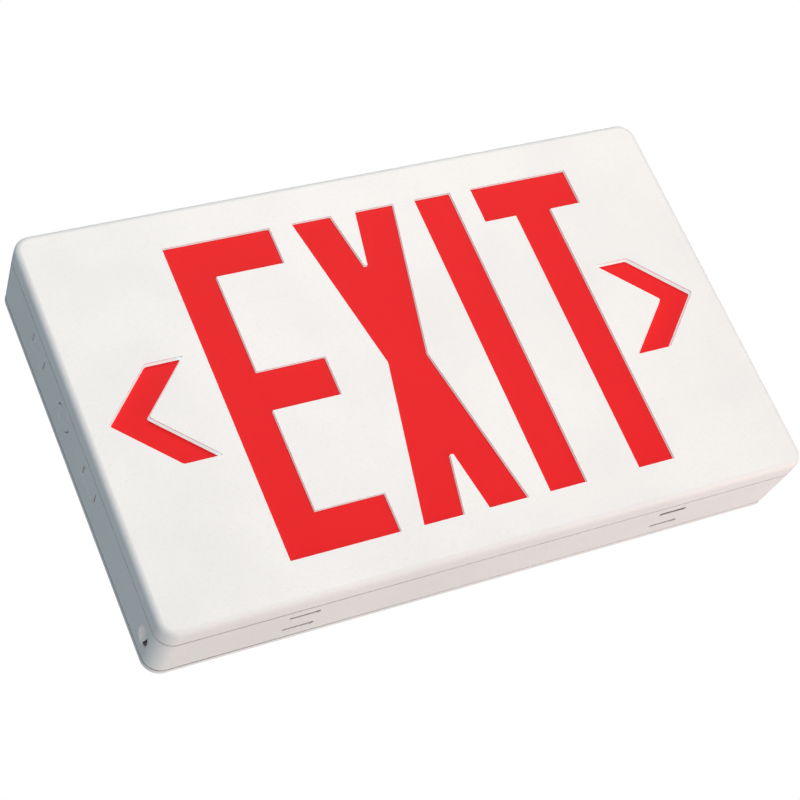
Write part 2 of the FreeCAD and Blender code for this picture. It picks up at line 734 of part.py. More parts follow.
def make_back_plate():
    w = WIDTH - 2 * TAPER
    h = HEIGHT - 2 * TAPER
    plate = rounded_block(w, h, CORNER_R, -PLATE_SKIRT, 0.0)
    plate = plate.makeChamfer(BACK_CHAMFER, edges_at(plate, 0.0))
    hollow = rounded_block(w - 2 * COVER_SKIRT_T, h - 2 * COVER_SKIRT_T, CORNER_R - COVER_SKIRT_T,
                           -PLATE_SKIRT - 1, PLATE_IN_Y)
    plate = plate.cut(hollow)
    additions = [post(0, 0, WIRE_ENTRY_R + COLLAR_T, PLATE_IN_Y - COLLAR_H, PLATE_IN_Y)]
    for x, z in board_corners(True):
        additions.append(post(x, z, STANDOFF_R, BOARD_BACK_Y, PLATE_IN_Y))
    for x, z in board_corners(False):
        additions.append(centred_box(x, z, STANDOFF_R, STANDOFF_R, BOARD_BACK_Y, PLATE_IN_Y))
    for x, z in strap_screws():
        additions.append(centred_box(x, z, PAD_W, PAD_W, cradle_floor_y(), PLATE_IN_Y))
    for x in LEAD_RIB_X:
        additions.append(centred_box(x, lead_low_z(), LEAD_RIB[0], LEAD_RIB[1], cradle_floor_y(), PLATE_IN_Y))
    for sx, sz in hook_places():
        additions.append(snap_hook(sx, sz, PLATE_IN_Y, REAR_SLOT_Y))
    plate = plate.fuse(additions)
    cuts = [post(0, 0, WIRE_ENTRY_R, PLATE_IN_Y - COLLAR_H - 1, 1)]
    for s in (-1, 1):
        cuts.append(post(s * OCTAGON_SPACING / 2, 0, OCTAGON_HOLE_R, PLATE_IN_Y - 1, 1))
        cuts.append(slot_block(0, s * GANG_SPACING / 2, GANG_SLOT_L, GANG_SLOT_R, PLATE_IN_Y - 1, 1))
    score = post(0, 0, SCORE_RING_R + SCORE_W / 2, -SCORE_D, 1)
    cuts.append(score.cut(post(0, 0, SCORE_RING_R - SCORE_W / 2, -SCORE_D, 1)))
    for x, z in board_corners(True):
        cuts.append(post(x, z, SCREW_R, BOARD_BACK_Y - 1, BOARD_BACK_Y + SCREW_BITE))
    for x, z in strap_screws():
        cuts.append(post(x, z, SCREW_R, cradle_floor_y() - 1, cradle_floor_y() + STRAP_BITE))
    return plate.cut(cuts)


# Screws

def hex_screw(x, z, seat_y, bite):
    """A hexagon-headed tapping screw along Y whose head sits on the plane at seat_y."""
    shank = post(x, z, SCREW_R, seat_y, seat_y + bite)
    corners = []
    for i in range(6):
        angle = math.radians(60 * i)
        corners.append((x + SCREW_HEAD_R * math.cos(angle), z + SCREW_HEAD_R * math.sin(angle)))
    return shank.fuse(straight_polygon(corners, seat_y - SCREW_HEAD_H, seat_y))


# Light strips

def make_light_strip(sz):
    low, high = sorted((sz * (strip_z() - STRIP_T), sz * strip_z()))
    return box(-STRIP_L / 2, STRIP_L / 2, STRIP_Y - STRIP_W / 2, STRIP_Y + STRIP_W / 2, low, high)


def led_x(index):
    return (index - (LED_COUNT - 1) / 2) * LED_PITCH


def make_led(index, sz):
    """A square surface-mounted light with a well in its face."""
    seat = sz * (strip_z() - STRIP_T)
    face = seat - sz * LED_H
    half = LED_SIZE / 2
    low, high = sorted((seat, face))
    body = box(led_x(index) - half, led_x(index) + half, STRIP_Y - half, STRIP_Y + half, low, high)
    inner = half - LED_RIM
    low, high = sorted((face - sz, face + sz * LED_WELL))
    return body.cut(box(led_x(index) - inner, led_x(index) + inner, STRIP_Y - inner, STRIP_Y + inner, low, high))


# Charger board

def make_charger_board():
    board = centred_box(BOARD_X, BOARD_Z, BOARD_W, BOARD_H, BOARD_FRONT_Y, BOARD_BACK_Y)
    holes = [post(x, z, SCREW_R + HOLE_GAP, BOARD_FRONT_Y - 1, BOARD_BACK_Y + 1) for x, z in board_corners(True)]
    return board.cut(holes)


def from_corner(side_x, side_z, in_x, in_z):
    """A place on the board, measured in from one of its corners."""
    return BOARD_X + side_x * (BOARD_W / 2 - in_x), BOARD_Z + side_z * (BOARD_H / 2 - in_z)


def on_board(place, size, lift=0.0, dx=0.0, dz=0.0):
    """A block on the board, moved by dx, dz from its place. size is width, height and how far it stands out."""
    x, z = from_corner(*place)
    w, h, deep = size
    return centred_box(x + dx, z + dz, w, h, BOARD_FRONT_Y - lift - deep, BOARD_FRONT_Y - lift)


def core_window_w():
    return (CORE_W - 2 * CORE_LIMB - CORE_MIDDLE_LIMB) / 2


def make_transformer_core():
    """Laminated frame with a window either side of its middle limb, on two feet."""
    lift = (COIL_T - CORE_T) / 2
    core = on_board(CORE_AT, (CORE_W, CORE_H, CORE_T), lift)
    w = core_window_w()
    windows = []
    feet = []
    for s in (-1, 1):
        dx = s * (CORE_MIDDLE_LIMB + w) / 2
        windows.append(on_board(CORE_AT, (w, CORE_H - 2 * CORE_LIMB, CORE_T + 2), lift - 1, dx))
        feet.append(on_board(CORE_AT, (CORE_FOOT, CORE_H, lift), 0.0, s * (CORE_W - CORE_FOOT) / 2))
    return core.cut(windows).fuse(feet)


def make_transformer_coil():
    """Wound bobbin round the middle limb, standing on the board."""
    w = CORE_MIDDLE_LIMB + 2 * (core_window_w() - COIL_GAP)
    h = CORE_H - 2 * CORE_LIMB - 2 * COIL_GAP
    coil = on_board(CORE_AT, (w, h, COIL_T))
    return coil.cut(on_board(CORE_AT, (CORE_MIDDLE_LIMB, CORE_H, CORE_T), (COIL_T - CORE_T) / 2))


def make_capacitor(place, r, h):
    x, z = from_corner(*place)
    return post(x, z, r, BOARD_FRONT_Y - h, BOARD_FRONT_Y)


def make_terminal_block():
    """A row of screw terminals whose wire mouths face the wire entry."""
    block = on_board(TERMINAL_AT, TERMINAL)
    pitch = TERMINAL[1] / TERMINAL_WAYS
    well = (TERMINAL_WELL, TERMINAL_WELL, TERMINAL_WELL_D + 1)
    mouth = (TERMINAL[0] / 2, TERMINAL_WELL, TERMINAL_MOUTH_H)
    cuts = []
    for i in range(TERMINAL_WAYS):
        dz = (i - (TERMINAL_WAYS - 1) / 2) * pitch
        cuts.append(on_board(TERMINAL_AT, well, TERMINAL[2] - TERMINAL_WELL_D, 0.0, dz))
        cuts.append(on_board(TERMINAL_AT, mouth, TERMINAL_MOUTH_LIFT, -TERMINAL[0] / 2, dz))
    return block.cut(cuts)


def make_heat_sink():
    """A finned plate that stands on the board."""
    base = on_board(SINK_AT, SINK_BASE)
    pitch = (SINK_BASE[1] - FIN_T) / (FIN_COUNT - 1)
    fins = []
    for i in range(FIN_COUNT):
        dz = (i - (FIN_COUNT - 1) / 2) * pitch
        fins.append(on_board(SINK_AT, (FIN_L, FIN_T, SINK_BASE[2]), 0.0, (SINK_BASE[0] + FIN_L) / 2, dz))
    return base.fuse(fins)


def make_regulator():
    """A flat power part whose metal tab lies against the heat sink."""
    back = -SINK_BASE[0] / 2
    body = on_board(SINK_AT, REGULATOR, 0.0, back - REGULATOR[0] / 2)
    tab = on_board(SINK_AT, REGULATOR_TAB, 0.0, back - REGULATOR_TAB[0] / 2)
    return body.fuse(tab)


def make_board_screws():
    screws = [hex_screw(x, z, BOARD_FRONT_Y, BOARD_T + SCREW_BITE) for x, z in board_corners(True)]
    return Part.makeCompound(screws)


# Battery

def cradle_floor_y():
    return PLATE_IN_Y - CRADLE_T


def make_battery_pack():
    """Three cells side by side in one shrink sleeve."""
    length, height, deep = battery_size()
    r = deep / 2
    y = cradle_floor_y() - r
    cells = []
    for i in range(CELL_COUNT):
        z = BATTERY_Z + (i - (CELL_COUNT - 1) / 2) * 2 * CELL_R
        cells.append(Part.makeCylinder(r, length, vec(BATTERY_X - length / 2, y, z), vec(1, 0, 0)))
    half = (CELL_COUNT - 1) * CELL_R
    sleeve = box(BATTERY_X - length / 2, BATTERY_X + length / 2, y - r, y + r, BATTERY_Z - half, BATTERY_Z + half)
    return cells[0].fuse(cells[1:] + [sleeve])


def make_battery_cradle():
    """Moulded tray with low walls, gaps for the strap and a mouth for the lead."""
    length, height, deep = battery_size()
    top = cradle_floor_y() - CRADLE_WALL_H
    wall = CRADLE_GAP + CRADLE_T
    tray = centred_box(BATTERY_X, BATTERY_Z, length + 2 * wall, height + 2 * wall, top, PLATE_IN_Y)
    well = centred_box(BATTERY_X, BATTERY_Z, length + 2 * CRADLE_GAP, height + 2 * CRADLE_GAP,
                       top - 1, cradle_floor_y())
    mouth = centred_box(BATTERY_X + length / 2 + CRADLE_T, BATTERY_Z, 4 * CRADLE_T, CRADLE_MOUTH,
                        top - 1, cradle_floor_y())
    strap_gap = centred_box(BATTERY_X, BATTERY_Z, STRAP_W + 1, height + 4 * wall, top - 1, cradle_floor_y())
    return tray.cut([well, mouth, strap_gap])


def make_battery_strap():
    """Folded sheet strap over the pack, with a foot at each end."""
    length, height, deep = battery_size()
    foot_y = cradle_floor_y()
    top = foot_y - deep - STRAP_GAP
    half = height / 2 + STRAP_GAP
    end = half + CRADLE_T + STRAP_FOOT
    c = STRAP_CORNER
    k = c + STRAP_T * math.tan(math.radians(22.5))
    t = STRAP_T
    outside = [(foot_y - t, -end), (foot_y - t, -half - t), (top - t + k, -half - t), (top - t, -half - t + k),
               (top - t, half + t - k), (top - t + k, half + t), (foot_y - t, half + t), (foot_y - t, end)]
    inside = [(foot_y, end), (foot_y, half), (top + c, half), (top, half - c),
              (top, -half + c), (top + c, -half), (foot_y, -half), (foot_y, -end)]
    points = [vec(BATTERY_X - STRAP_W / 2, y, BATTERY_Z + z) for y, z in outside + inside]
    strap = Part.Face(Part.makePolygon(points + points[:1])).extrude(vec(STRAP_W, 0, 0))
    holes = [post(x, z, SCREW_R + HOLE_GAP, foot_y - 2 * t, foot_y + 1) for x, z in strap_screws()]
    return strap.cut(holes)


def make_strap_screws():
    screws = [hex_screw(x, z, cradle_floor_y() - STRAP_T, STRAP_T + STRAP_BITE) for x, z in strap_screws()]
    return Part.makeCompound(screws)


# Leads

def flat_lead(points, y0, y1):
    """A flat lead in a plane of constant depth, along the points, with round bends."""
    edges = []
    n = len(points)
    last = vec(points[0][0], (y0 + y1) / 2, points[0][1])
    for i in range(1, n):
        p = vec(points[i][0], (y0 + y1) / 2, points[i][1])
        if i == n - 1:
            edges.append(Part.makeLine(last, p))
            break
        before = last - p
        after = vec(points[i + 1][0], (y0 + y1) / 2, points[i + 1][1]) - p
        before.normalize()
        after.normalize()
        half = before.getAngle(after) / 2
        middle = before + after
        middle.normalize()
        start = p + before * (LEAD_BEND_R / math.tan(half))
        end = p + after * (LEAD_BEND_R / math.tan(half))
        bend = p + middle * (LEAD_BEND_R / math.sin(half) - LEAD_BEND_R)
        edges.append(Part.makeLine(last, start))
        edges.append(Part.Arc(start, bend, end).toShape())
        last = end
    path = Part.Wire(edges)
    first = vec(points[0][0], 0, points[0][1])
    along = vec(points[1][0], 0, points[1][1]) - first
    along.normalize()
    across = vec(along.z, 0, -along.x) * (LEAD_W / 2)
    corners = []
    for s, y in ((-1, y0), (1, y0), (1, y1), (-1, y1), (-1, y0)):
        corners.append(vec(points[0][0] + s * across.x, y, points[0][1] + s * across.z))
    section = Part.makePolygon(corners)
    return path.makePipeShell([section], True, False)


def lead_low_z():
    """Height of the lead's long run below the board."""
    return BOARD_Z - BOARD_H / 2 - LEAD_BELOW_BOARD


def make_battery_lead():
    """Runs from the pack, over the ribs of the plate, to a plug behind the board."""
    start_x = BATTERY_X + battery_size()[0] / 2
    down_x = start_x + LEAD_LEAVES
    mouth_z = BATTERY_Z + LEAD_MOUTH_Z
    plug_x, plug_z = from_corner(*BATTERY_PLUG_AT)
    y1 = cradle_floor_y()
    points = [(start_x, mouth_z), (down_x, mouth_z), (down_x, lead_low_z()),
              (plug_x, lead_low_z()), (plug_x, plug_z - PLUG[1] / 2)]
    lead = flat_lead(points, y1 - LEAD_T, y1)
    return lead.fuse(centred_box(plug_x, plug_z, PLUG[0], PLUG[1], BOARD_BACK_Y, y1))


def make_strip_lead(sz):
    """From a plug on the charger board straight to a plug on a light strip."""
    x, board_z = from_corner(1, sz, *STRIP_PLUG_AT)
    y1 = BOARD_FRONT_Y - LEAD_LIFT
    y0 = y1 - LEAD_T
    strip_in = sz * (strip_z() - STRIP_T)
    low, high = sorted((board_z, strip_in - sz * PLUG[1]))
    lead = box(x - LEAD_W / 2, x + LEAD_W / 2, y0, y1, low, high)
    board_plug = centred_box(x, board_z, PLUG[0], PLUG[1], BOARD_FRONT_Y - PLUG[2], BOARD_FRONT_Y)
    middle = (y0 + y1) / 2
    low, high = sorted((strip_in, strip_in - sz * PLUG[1]))
    strip_plug = box(x - PLUG[0] / 2, x + PLUG[0] / 2, middle - PLUG[2] / 2, middle + PLUG[2] / 2, low, high)
    return lead.fuse([board_plug, strip_plug])


# Test button, its switch and the pilot light

def button_face_x():
    return right_wall_out() - BUTTON_SUNK


def make_test_button():
    """Round plunger with a collar that stops it behind the wall."""
    face = button_face_x()
    y = button_y()
    shaft = Part.makeCylinder(BUTTON_R, BUTTON_L, vec(face - BUTTON_L, y, BUTTON_Z), vec(1, 0, 0))
    collar_x = switch_face_x() - BUTTON_COLLAR_GAP - BUTTON_COLLAR_T
    return shaft.fuse(Part.makeCylinder(BUTTON_COLLAR_R, BUTTON_COLLAR_T, vec(collar_x, y, BUTTON_Z), vec(1, 0, 0)))


def switch_back_x():
    return switch_face_x() - SWITCH_DEPTH


def tag(z, w, from_x):
    """A flat tag or leg that comes back over the board's edge and turns down onto it."""
    y = button_y()
    end_x = BOARD_X + BOARD_W / 2 - SWITCH_TAG_REACH + w
    bar = box(end_x - w, from_x, y - w / 2, y + w / 2, z - w / 2, z + w / 2)
    return bar.fuse(box(end_x - w, end_x, y - w / 2, BOARD_FRONT_Y, z - w / 2, z + w / 2))


def make_test_switch():
    """Cup that guides the plunger, with two tags that stand on the board."""
    y = button_y()
    half = SWITCH_SIZE / 2
    cup = box(switch_back_x(), switch_face_x(), y - half, y + half, BUTTON_Z - half, BUTTON_Z + half)
    bore = Part.makeCylinder(BUTTON_COLLAR_R + CLEARANCE, SWITCH_DEPTH - SWITCH_FLOOR,
                             vec(switch_back_x() + SWITCH_FLOOR, y, BUTTON_Z), vec(1, 0, 0))
    tags = [tag(BUTTON_Z + s * SWITCH_TAG_PITCH / 2, SWITCH_TAG_W, switch_back_x()) for s in (-1, 1)]
    return cup.cut(bore).fuse(tags)


def make_button_spring():
    """Folded leaf between the switch floor and the plunger."""
    floor = switch_back_x() + SWITCH_FLOOR
    rear = button_face_x() - BUTTON_L
    y = button_y() - SPRING_W / 2
    t = SPRING_T
    f = SPRING_FOOT
    right = [(floor, f), (floor + t, f), (rear - t, f / 3)]
    left = [(x, -z) for x, z in reversed(right)]
    inner = [(floor, -f + 2 * t), (rear - 2 * t, -f / 3 + t), (rear - 2 * t, f / 3 - t), (floor, f - 2 * t)]
    outline = right + [(rear, f / 3 - t), (rear, -f / 3 + t)] + left + inner
    points = [vec(x, y, BUTTON_Z + z) for x, z in outline]
    return Part.Face(Part.makePolygon(points + points[:1])).extrude(vec(0, SPRING_W, 0))


def make_pilot_light():
    """Indicator in the wall beside the button, with a flange behind the pad and two legs."""
    y = button_y()
    z = BUTTON_Z + PILOT_RISE
    outer = button_face_x()
    inner = switch_face_x()
    body = Part.makeCylinder(PILOT_R, outer - inner, vec(inner, y, z), vec(1, 0, 0))
    back = inner - PILOT_FLANGE_T
    flange = Part.makeCylinder(PILOT_FLANGE_R, PILOT_FLANGE_T, vec(back, y, z), vec(1, 0, 0))
    legs = [tag(z + s * PILOT_LEG_PITCH / 2, PILOT_LEG, back) for s in (-1, 1)]
    return body.fuse([flange] + legs)


# Build and write every piece

save("face_cover", make_face_cover())
save("legend_lens", make_legend_lens())
save("housing_frame", make_housing_frame())
save("back_plate", make_back_plate())
for side, word in ((1, "top"), (-1, "bottom")):
    save("light_strip_" + word, make_light_strip(side))
    for number in range(LED_COUNT):
        save("led_" + word + "_" + str(number + 1), make_led(number, side))
    save("strip_lead_" + word, make_strip_lead(side))
save("charger_board", make_charger_board())
save("transformer_core", make_transformer_core())
save("transformer_coil", make_transformer_coil())
save("main_capacitor", make_capacitor(MAIN_CAP_AT, MAIN_CAP_R, MAIN_CAP_H))
save("filter_capacitor", make_capacitor(FILTER_CAP_AT, FILTER_CAP_R, FILTER_CAP_H))
save("film_capacitor", on_board(FILM_CAP_AT, FILM_CAP))
save("relay", on_board(RELAY_AT, RELAY))
save("fuse", on_board(FUSE_AT, FUSE))
save("control_chip", on_board(CHIP_AT, CHIP))
save("rectifier", on_board(RECTIFIER_AT, RECTIFIER))
save("terminal_block", make_terminal_block())
save("heat_sink", make_heat_sink())
save("regulator", make_regulator())
save("board_screws", make_board_screws())
save("battery_pack", make_battery_pack())
save("battery_cradle", make_battery_cradle())
save("battery_strap", make_battery_strap())
save("strap_screws", make_strap_screws())
save("battery_lead", make_battery_lead())
save("test_button", make_test_button())
save("test_switch", make_test_switch())
save("button_spring", make_button_spring())
save("pilot_light", make_pilot_light())
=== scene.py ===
"""Dresses the emergency exit light: shell, red legend, light strips, charger board, battery and test button.

Sizes in the classes are millimetres, in the frame of the solids: X right, Y into the wall, Z up.
"""

from __future__ import annotations

import logging
import math
from dataclasses import dataclass
from enum import Enum
from typing import Callable, Iterable, Sequence

import bmesh
import bpy
from mathutils import Matrix, Vector

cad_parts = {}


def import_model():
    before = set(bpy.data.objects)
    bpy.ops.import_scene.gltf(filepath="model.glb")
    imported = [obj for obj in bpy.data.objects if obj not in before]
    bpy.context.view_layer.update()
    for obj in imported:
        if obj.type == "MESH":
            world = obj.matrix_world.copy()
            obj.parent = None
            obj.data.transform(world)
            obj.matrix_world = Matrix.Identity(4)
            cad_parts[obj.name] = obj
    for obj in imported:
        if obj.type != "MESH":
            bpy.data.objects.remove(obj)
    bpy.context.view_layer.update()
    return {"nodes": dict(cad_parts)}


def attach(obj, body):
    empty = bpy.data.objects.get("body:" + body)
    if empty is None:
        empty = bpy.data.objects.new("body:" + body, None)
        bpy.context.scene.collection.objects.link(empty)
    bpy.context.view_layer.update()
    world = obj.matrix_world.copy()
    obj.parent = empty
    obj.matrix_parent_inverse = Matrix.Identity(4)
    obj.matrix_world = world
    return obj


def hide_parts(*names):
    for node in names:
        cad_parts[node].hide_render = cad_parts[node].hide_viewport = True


log = logging.getLogger("exit_light")

MM = 0.001
WELD = 0.000002
STRIPS = ((1, "top"), (-1, "bottom"))
Point = Sequence[float]
Colour = tuple[float, float, float]
BLACK: Colour = (0.0, 0.0, 0.0)
Outline = list[tuple[float, float]]
Test = Callable[[Vector, Vector], bool]


# Workbench


class Axis(Enum):
    """The three directions of the frame."""

    X = 0
    Y = 1
    Z = 2

    @property
    def unit(self) -> Vector:
        """The direction as a unit vector."""
        return Vector([1.0 if i == self.value else 0.0 for i in range(3)])


class Pick(Enum):
    """What an edit selects."""

    VERT = "VERT"
    EDGE = "EDGE"
    FACE = "FACE"


def deselect() -> None:
    """Leaves edit mode and deselects every object."""
    if bpy.context.mode != "OBJECT":
        bpy.ops.object.mode_set(mode="OBJECT")
    bpy.ops.object.select_all(action="DESELECT")


def take(*pieces: bpy.types.Object) -> None:
    """Selects these objects alone and makes the first one active."""
    deselect()
    for piece in pieces:
        piece.select_set(True)
    bpy.context.view_layer.objects.active = pieces[0]


def settle(name: str) -> bpy.types.Object:
    """Names the new active object and puts its place, turn and size into its mesh.

    Args:
        name: the piece's name.

    Returns:
        The object, at the origin.
    """
    piece = bpy.context.object
    piece.name = name
    piece.data.name = name
    take(piece)
    bpy.ops.object.transform_apply(location=True, rotation=True, scale=True)
    return piece


def block(name: str, low: Point, high: Point) -> bpy.types.Object:
    """A block, to be shaped further.

    Args:
        name: the piece's name.
        low: one corner, in millimetres.
        high: the opposite corner.

    Returns:
        The block.
    """
    deselect()
    middle = [(a + b) / 2 * MM for a, b in zip(low, high)]
    size = [abs(b - a) * MM for a, b in zip(low, high)]
    bpy.ops.mesh.primitive_cube_add(size=1.0, location=middle, scale=size)
    return settle(name)


def rod(name: str, start: Point, axis: Axis, length: float, radius: float,
        sides: int = 48) -> bpy.types.Object:
    """A round bar.

    Args:
        name: the piece's name.
        start: the middle of its lower end, in millimetres.
        axis: the direction it runs in.
        length: how far it runs, in millimetres.
        radius: its radius in millimetres.
        sides: how many sides its round has.

    Returns:
        The bar, to be shaped further.
    """
    deselect()
    middle = (Vector(start) + axis.unit * (length / 2)) * MM
    turn = axis.unit.to_track_quat("Z", "Y").to_euler()
    bpy.ops.mesh.primitive_cylinder_add(vertices=sides, radius=radius * MM, depth=length * MM,
                                        location=middle, rotation=turn)
    return settle(name)


class Edit:
    """An edit session on one piece, with selection by place in millimetres."""

    def __init__(self, piece: bpy.types.Object, kind: Pick = Pick.FACE) -> None:
        """Keeps the piece and what is to be selected."""
        self.piece = piece
        self.kind = kind

    def __enter__(self) -> "Edit":
        """Opens the mesh with nothing selected."""
        take(self.piece)
        bpy.ops.object.mode_set(mode="EDIT")
        bpy.ops.mesh.select_mode(type=self.kind.value)
        bpy.ops.mesh.select_all(action="DESELECT")
        return self

    def __exit__(self, *error: object) -> None:
        """Closes the mesh."""
        bpy.ops.object.mode_set(mode="OBJECT")

    def everything(self) -> None:
        """Selects the whole mesh."""
        bpy.ops.mesh.select_all(action="SELECT")

    def faces(self, test: Test) -> None:
        """Selects faces.

        Args:
            test: tells by a face's centre in millimetres and its normal whether it is taken.
        """
        mesh = bmesh.from_edit_mesh(self.piece.data)
        for face in mesh.faces:
            face.select_set(test(face.calc_center_median() / MM, face.normal))
        mesh.select_flush_mode()
        bmesh.update_edit_mesh(self.piece.data)

    def edges(self, test: Test) -> int:
        """Selects edges.

        Args:
            test: tells by an edge's centre in millimetres and its direction whether it is taken.

        Returns:
            How many are selected.
        """
        mesh = bmesh.from_edit_mesh(self.piece.data)
        count = 0
        for edge in mesh.edges:
            a, b = edge.verts[0].co, edge.verts[1].co
            chosen = test((a + b) / 2 / MM, (b - a).normalized())
            edge.select_set(chosen)
            count += chosen
        mesh.select_flush_mode()
        bmesh.update_edit_mesh(self.piece.data)
        return count

    def extrude(self, x: float, y: float, z: float) -> None:
        """Extrudes what is selected by a move in millimetres."""
        bpy.ops.mesh.extrude_region_move(TRANSFORM_OT_translate={"value": (x * MM, y * MM, z * MM)})

    def trace(self, spots: Sequence[Vector]) -> None:
        """Shrinks the mesh to a point and draws a line by extruding it from spot to spot.

        Args:
            spots: where the line goes, in millimetres; the mesh lies at the first one.
        """
        self.everything()
        bpy.ops.mesh.merge(type="CENTER")
        for before, spot in zip(spots, spots[1:]):
            self.extrude(*(spot - before))
        self.everything()

    def move(self, x: float, y: float, z: float) -> None:
        """Moves what is selected, in millimetres."""
        bpy.ops.transform.translate(value=(x * MM, y * MM, z * MM))

    def scale(self, x: float, y: float, z: float, centre: Point = (0.0, 0.0, 0.0)) -> None:
        """Scales what is selected about a centre in millimetres."""
        bpy.ops.transform.resize(value=(x, y, z), center_override=[c * MM for c in centre])

    def bevel(self, width: float, segments: int) -> None:
        """Rounds the selected edges."""
        bpy.ops.mesh.bevel(offset_type="OFFSET", offset=width * MM, segments=segments, profile=0.5,
                           affect="EDGES", clamp_overlap=True)

    def inset(self, width: float, depth: float = 0.0) -> None:
        """Insets the selected faces and moves the inner ones out by a depth."""
        bpy.ops.mesh.inset(thickness=width * MM, depth=depth * MM)


def near(a: float, b: float, gap: float = 0.02) -> bool:
    """Whether two lengths in millimetres are the same."""
    return abs(a - b) < gap


def span(sign: int, a: float, b: float) -> tuple[float, float]:
    """Two distances on one side of the middle as places, the lower one first."""
    return min(sign * a, sign * b), max(sign * a, sign * b)


def round_edges(piece: bpy.types.Object, test: Test, radius: float, segments: int) -> bpy.types.Object:
    """Rounds edges.

    Args:
        piece: what they are on.
        test: tells by an edge's centre and direction whether it is rounded.
        radius: the round's radius in millimetres.
        segments: how many flats the round has.

    Returns:
        The piece.
    """
    with Edit(piece, Pick.EDGE) as edit:
        if edit.edges(test):
            edit.bevel(radius, segments)
    return piece


def round_along(piece: bpy.types.Object, axis: Axis, radius: float, segments: int) -> bpy.types.Object:
    """Rounds all the edges that run along one direction."""
    return round_edges(piece, lambda at, way: abs(way[axis.value]) > 0.9, radius, segments)


def round_rim(piece: bpy.types.Object, y: float, radius: float, segments: int) -> bpy.types.Object:
    """Rounds all the edges that lie at one depth."""
    return round_edges(piece, lambda at, way: near(at.y, y) and abs(way.y) < 0.1, radius, segments)


def soft_block(name: str, low: Point, high: Point, radius: float, segments: int = 3) -> bpy.types.Object:
    """A block with all its edges rounded."""
    return round_edges(block(name, low, high), lambda at, way: True, radius, segments)


def plate_block(name: str, low: Point, high: Point, corner: float, segments: int = 10) -> bpy.types.Object:
    """A block whose four edges along Y are rounded."""
    return round_along(block(name, low, high), Axis.Y, corner, segments)


def pierce(bar: bpy.types.Object, axis: Axis, wall: float) -> bpy.types.Object:
    """Makes a hole along a bar, by an inset at both ends and a bridge between them.

    Args:
        bar: the piece.
        axis: the direction that the hole runs in.
        wall: how thick the bar stays round the hole, in millimetres.

    Returns:
        The piece.
    """
    with Edit(bar) as edit:
        edit.faces(lambda at, normal: abs(normal[axis.value]) > 0.9)
        edit.inset(wall)
        bpy.ops.mesh.bridge_edge_loops()
    return bar


def tube(name: str, start: Point, axis: Axis, length: float, outer: float, inner: float,
         sides: int = 64) -> bpy.types.Object:
    """A round bar with a hole of the inner radius along it."""
    return pierce(rod(name, start, axis, length, outer, sides), axis, outer - inner)


def frame_block(name: str, low: Point, high: Point, axis: Axis, wall: float) -> bpy.types.Object:
    """A block with a rectangular hole along one direction."""
    return pierce(block(name, low, high), axis, wall)


def speck(name: str, spot: Vector) -> bpy.types.Object:
    """A small face at a spot in millimetres, from which a line is traced."""
    deselect()
    bpy.ops.mesh.primitive_plane_add(size=0.001, location=spot * MM)
    return settle(name)


def prism(name: str, corners: Sequence[Point], run: Point) -> bpy.types.Object:
    """A solid whose outline is traced from corner to corner, then drawn out.

    Args:
        name: the piece's name.
        corners: the outline's corners in millimetres, in one plane.
        run: how far and which way the outline is drawn out, in millimetres.

    Returns:
        The solid, with its faces outwards.
    """
    spots = [Vector(corner) for corner in corners]
    piece = speck(name, spots[0])
    with Edit(piece, Pick.VERT) as edit:
        edit.trace(spots)
        bpy.ops.mesh.edge_face_add()
        edit.extrude(*run)
        edit.everything()
        bpy.ops.mesh.normals_make_consistent(inside=False)
    return piece


def lathe(name: str, centre: Point, axis: Axis, profile: Outline, sides: int = 48) -> bpy.types.Object:
    """A turned solid, whose profile is traced and then spun round.

    Args:
        name: the piece's name.
        centre: where the profile's zero lies, in millimetres.
        axis: the direction that the profile's second number runs in.
        profile: radius and distance along the axis, from one end on the axis to the other.
        sides: how many steps the spin takes.

    Returns:
        The solid, with its faces outwards.
    """
    across = Axis.Z if axis is not Axis.Z else Axis.X
    spots = [Vector(centre) + axis.unit * along + across.unit * radius for radius, along in profile]
    piece = speck(name, spots[0])
    with Edit(piece, Pick.VERT) as edit:
        edit.trace(spots)
        bpy.ops.mesh.spin(steps=sides, angle=math.tau, center=Vector(centre) * MM, axis=axis.unit)
        edit.everything()
        bpy.ops.mesh.remove_doubles(threshold=WELD)
        bpy.ops.mesh.normals_make_consistent(inside=False)
    return smooth(piece)


def softened(node: bpy.types.Object, width: float) -> bpy.types.Object:
    """A copy of a solid with its triangles merged into faces and its edges rounded.

    Args:
        node: the solid, which stays as it is.
        width: how wide the rounds are, in millimetres.

    Returns:
        The copy.
    """
    deselect()
    copy = node.copy()
    copy.data = node.data.copy()
    for key in list(copy.keys()):
        del copy[key]
    copy.parent = None
    copy.name = node.name + "_dressed"
    bpy.context.scene.collection.objects.link(copy)
    with Edit(copy, Pick.VERT) as edit:
        edit.everything()
        bpy.ops.mesh.remove_doubles(threshold=WELD)
        bpy.ops.mesh.dissolve_limited(angle_limit=math.radians(1.0))
    return break_edges(copy, width)


def standing(outline: Outline, y: float) -> list[tuple[float, float, float]]:
    """An outline in X and Z as corners at one depth."""
    return [(x, y, z) for x, z in outline]


def join(pieces: Sequence[bpy.types.Object], name: str = "") -> bpy.types.Object:
    """Joins pieces.

    Args:
        pieces: the pieces; the others go into the first one.
        name: the new name, if the first one's isn't kept.

    Returns:
        The first piece.
    """
    if len(pieces) > 1:
        take(*pieces)
        bpy.ops.object.join()
    if name:
        pieces[0].name = name
    return pieces[0]


def apply_modifier(piece: bpy.types.Object, kind: str, **settings: object) -> None:
    """Adds a modifier and applies it.

    Args:
        piece: what gets it.
        kind: the modifier's type.
        **settings: its attributes.
    """
    take(piece)
    modifier = piece.modifiers.new(kind.lower(), kind)
    for key, value in settings.items():
        setattr(modifier, key, value)
    bpy.ops.object.modifier_apply(modifier=modifier.name)


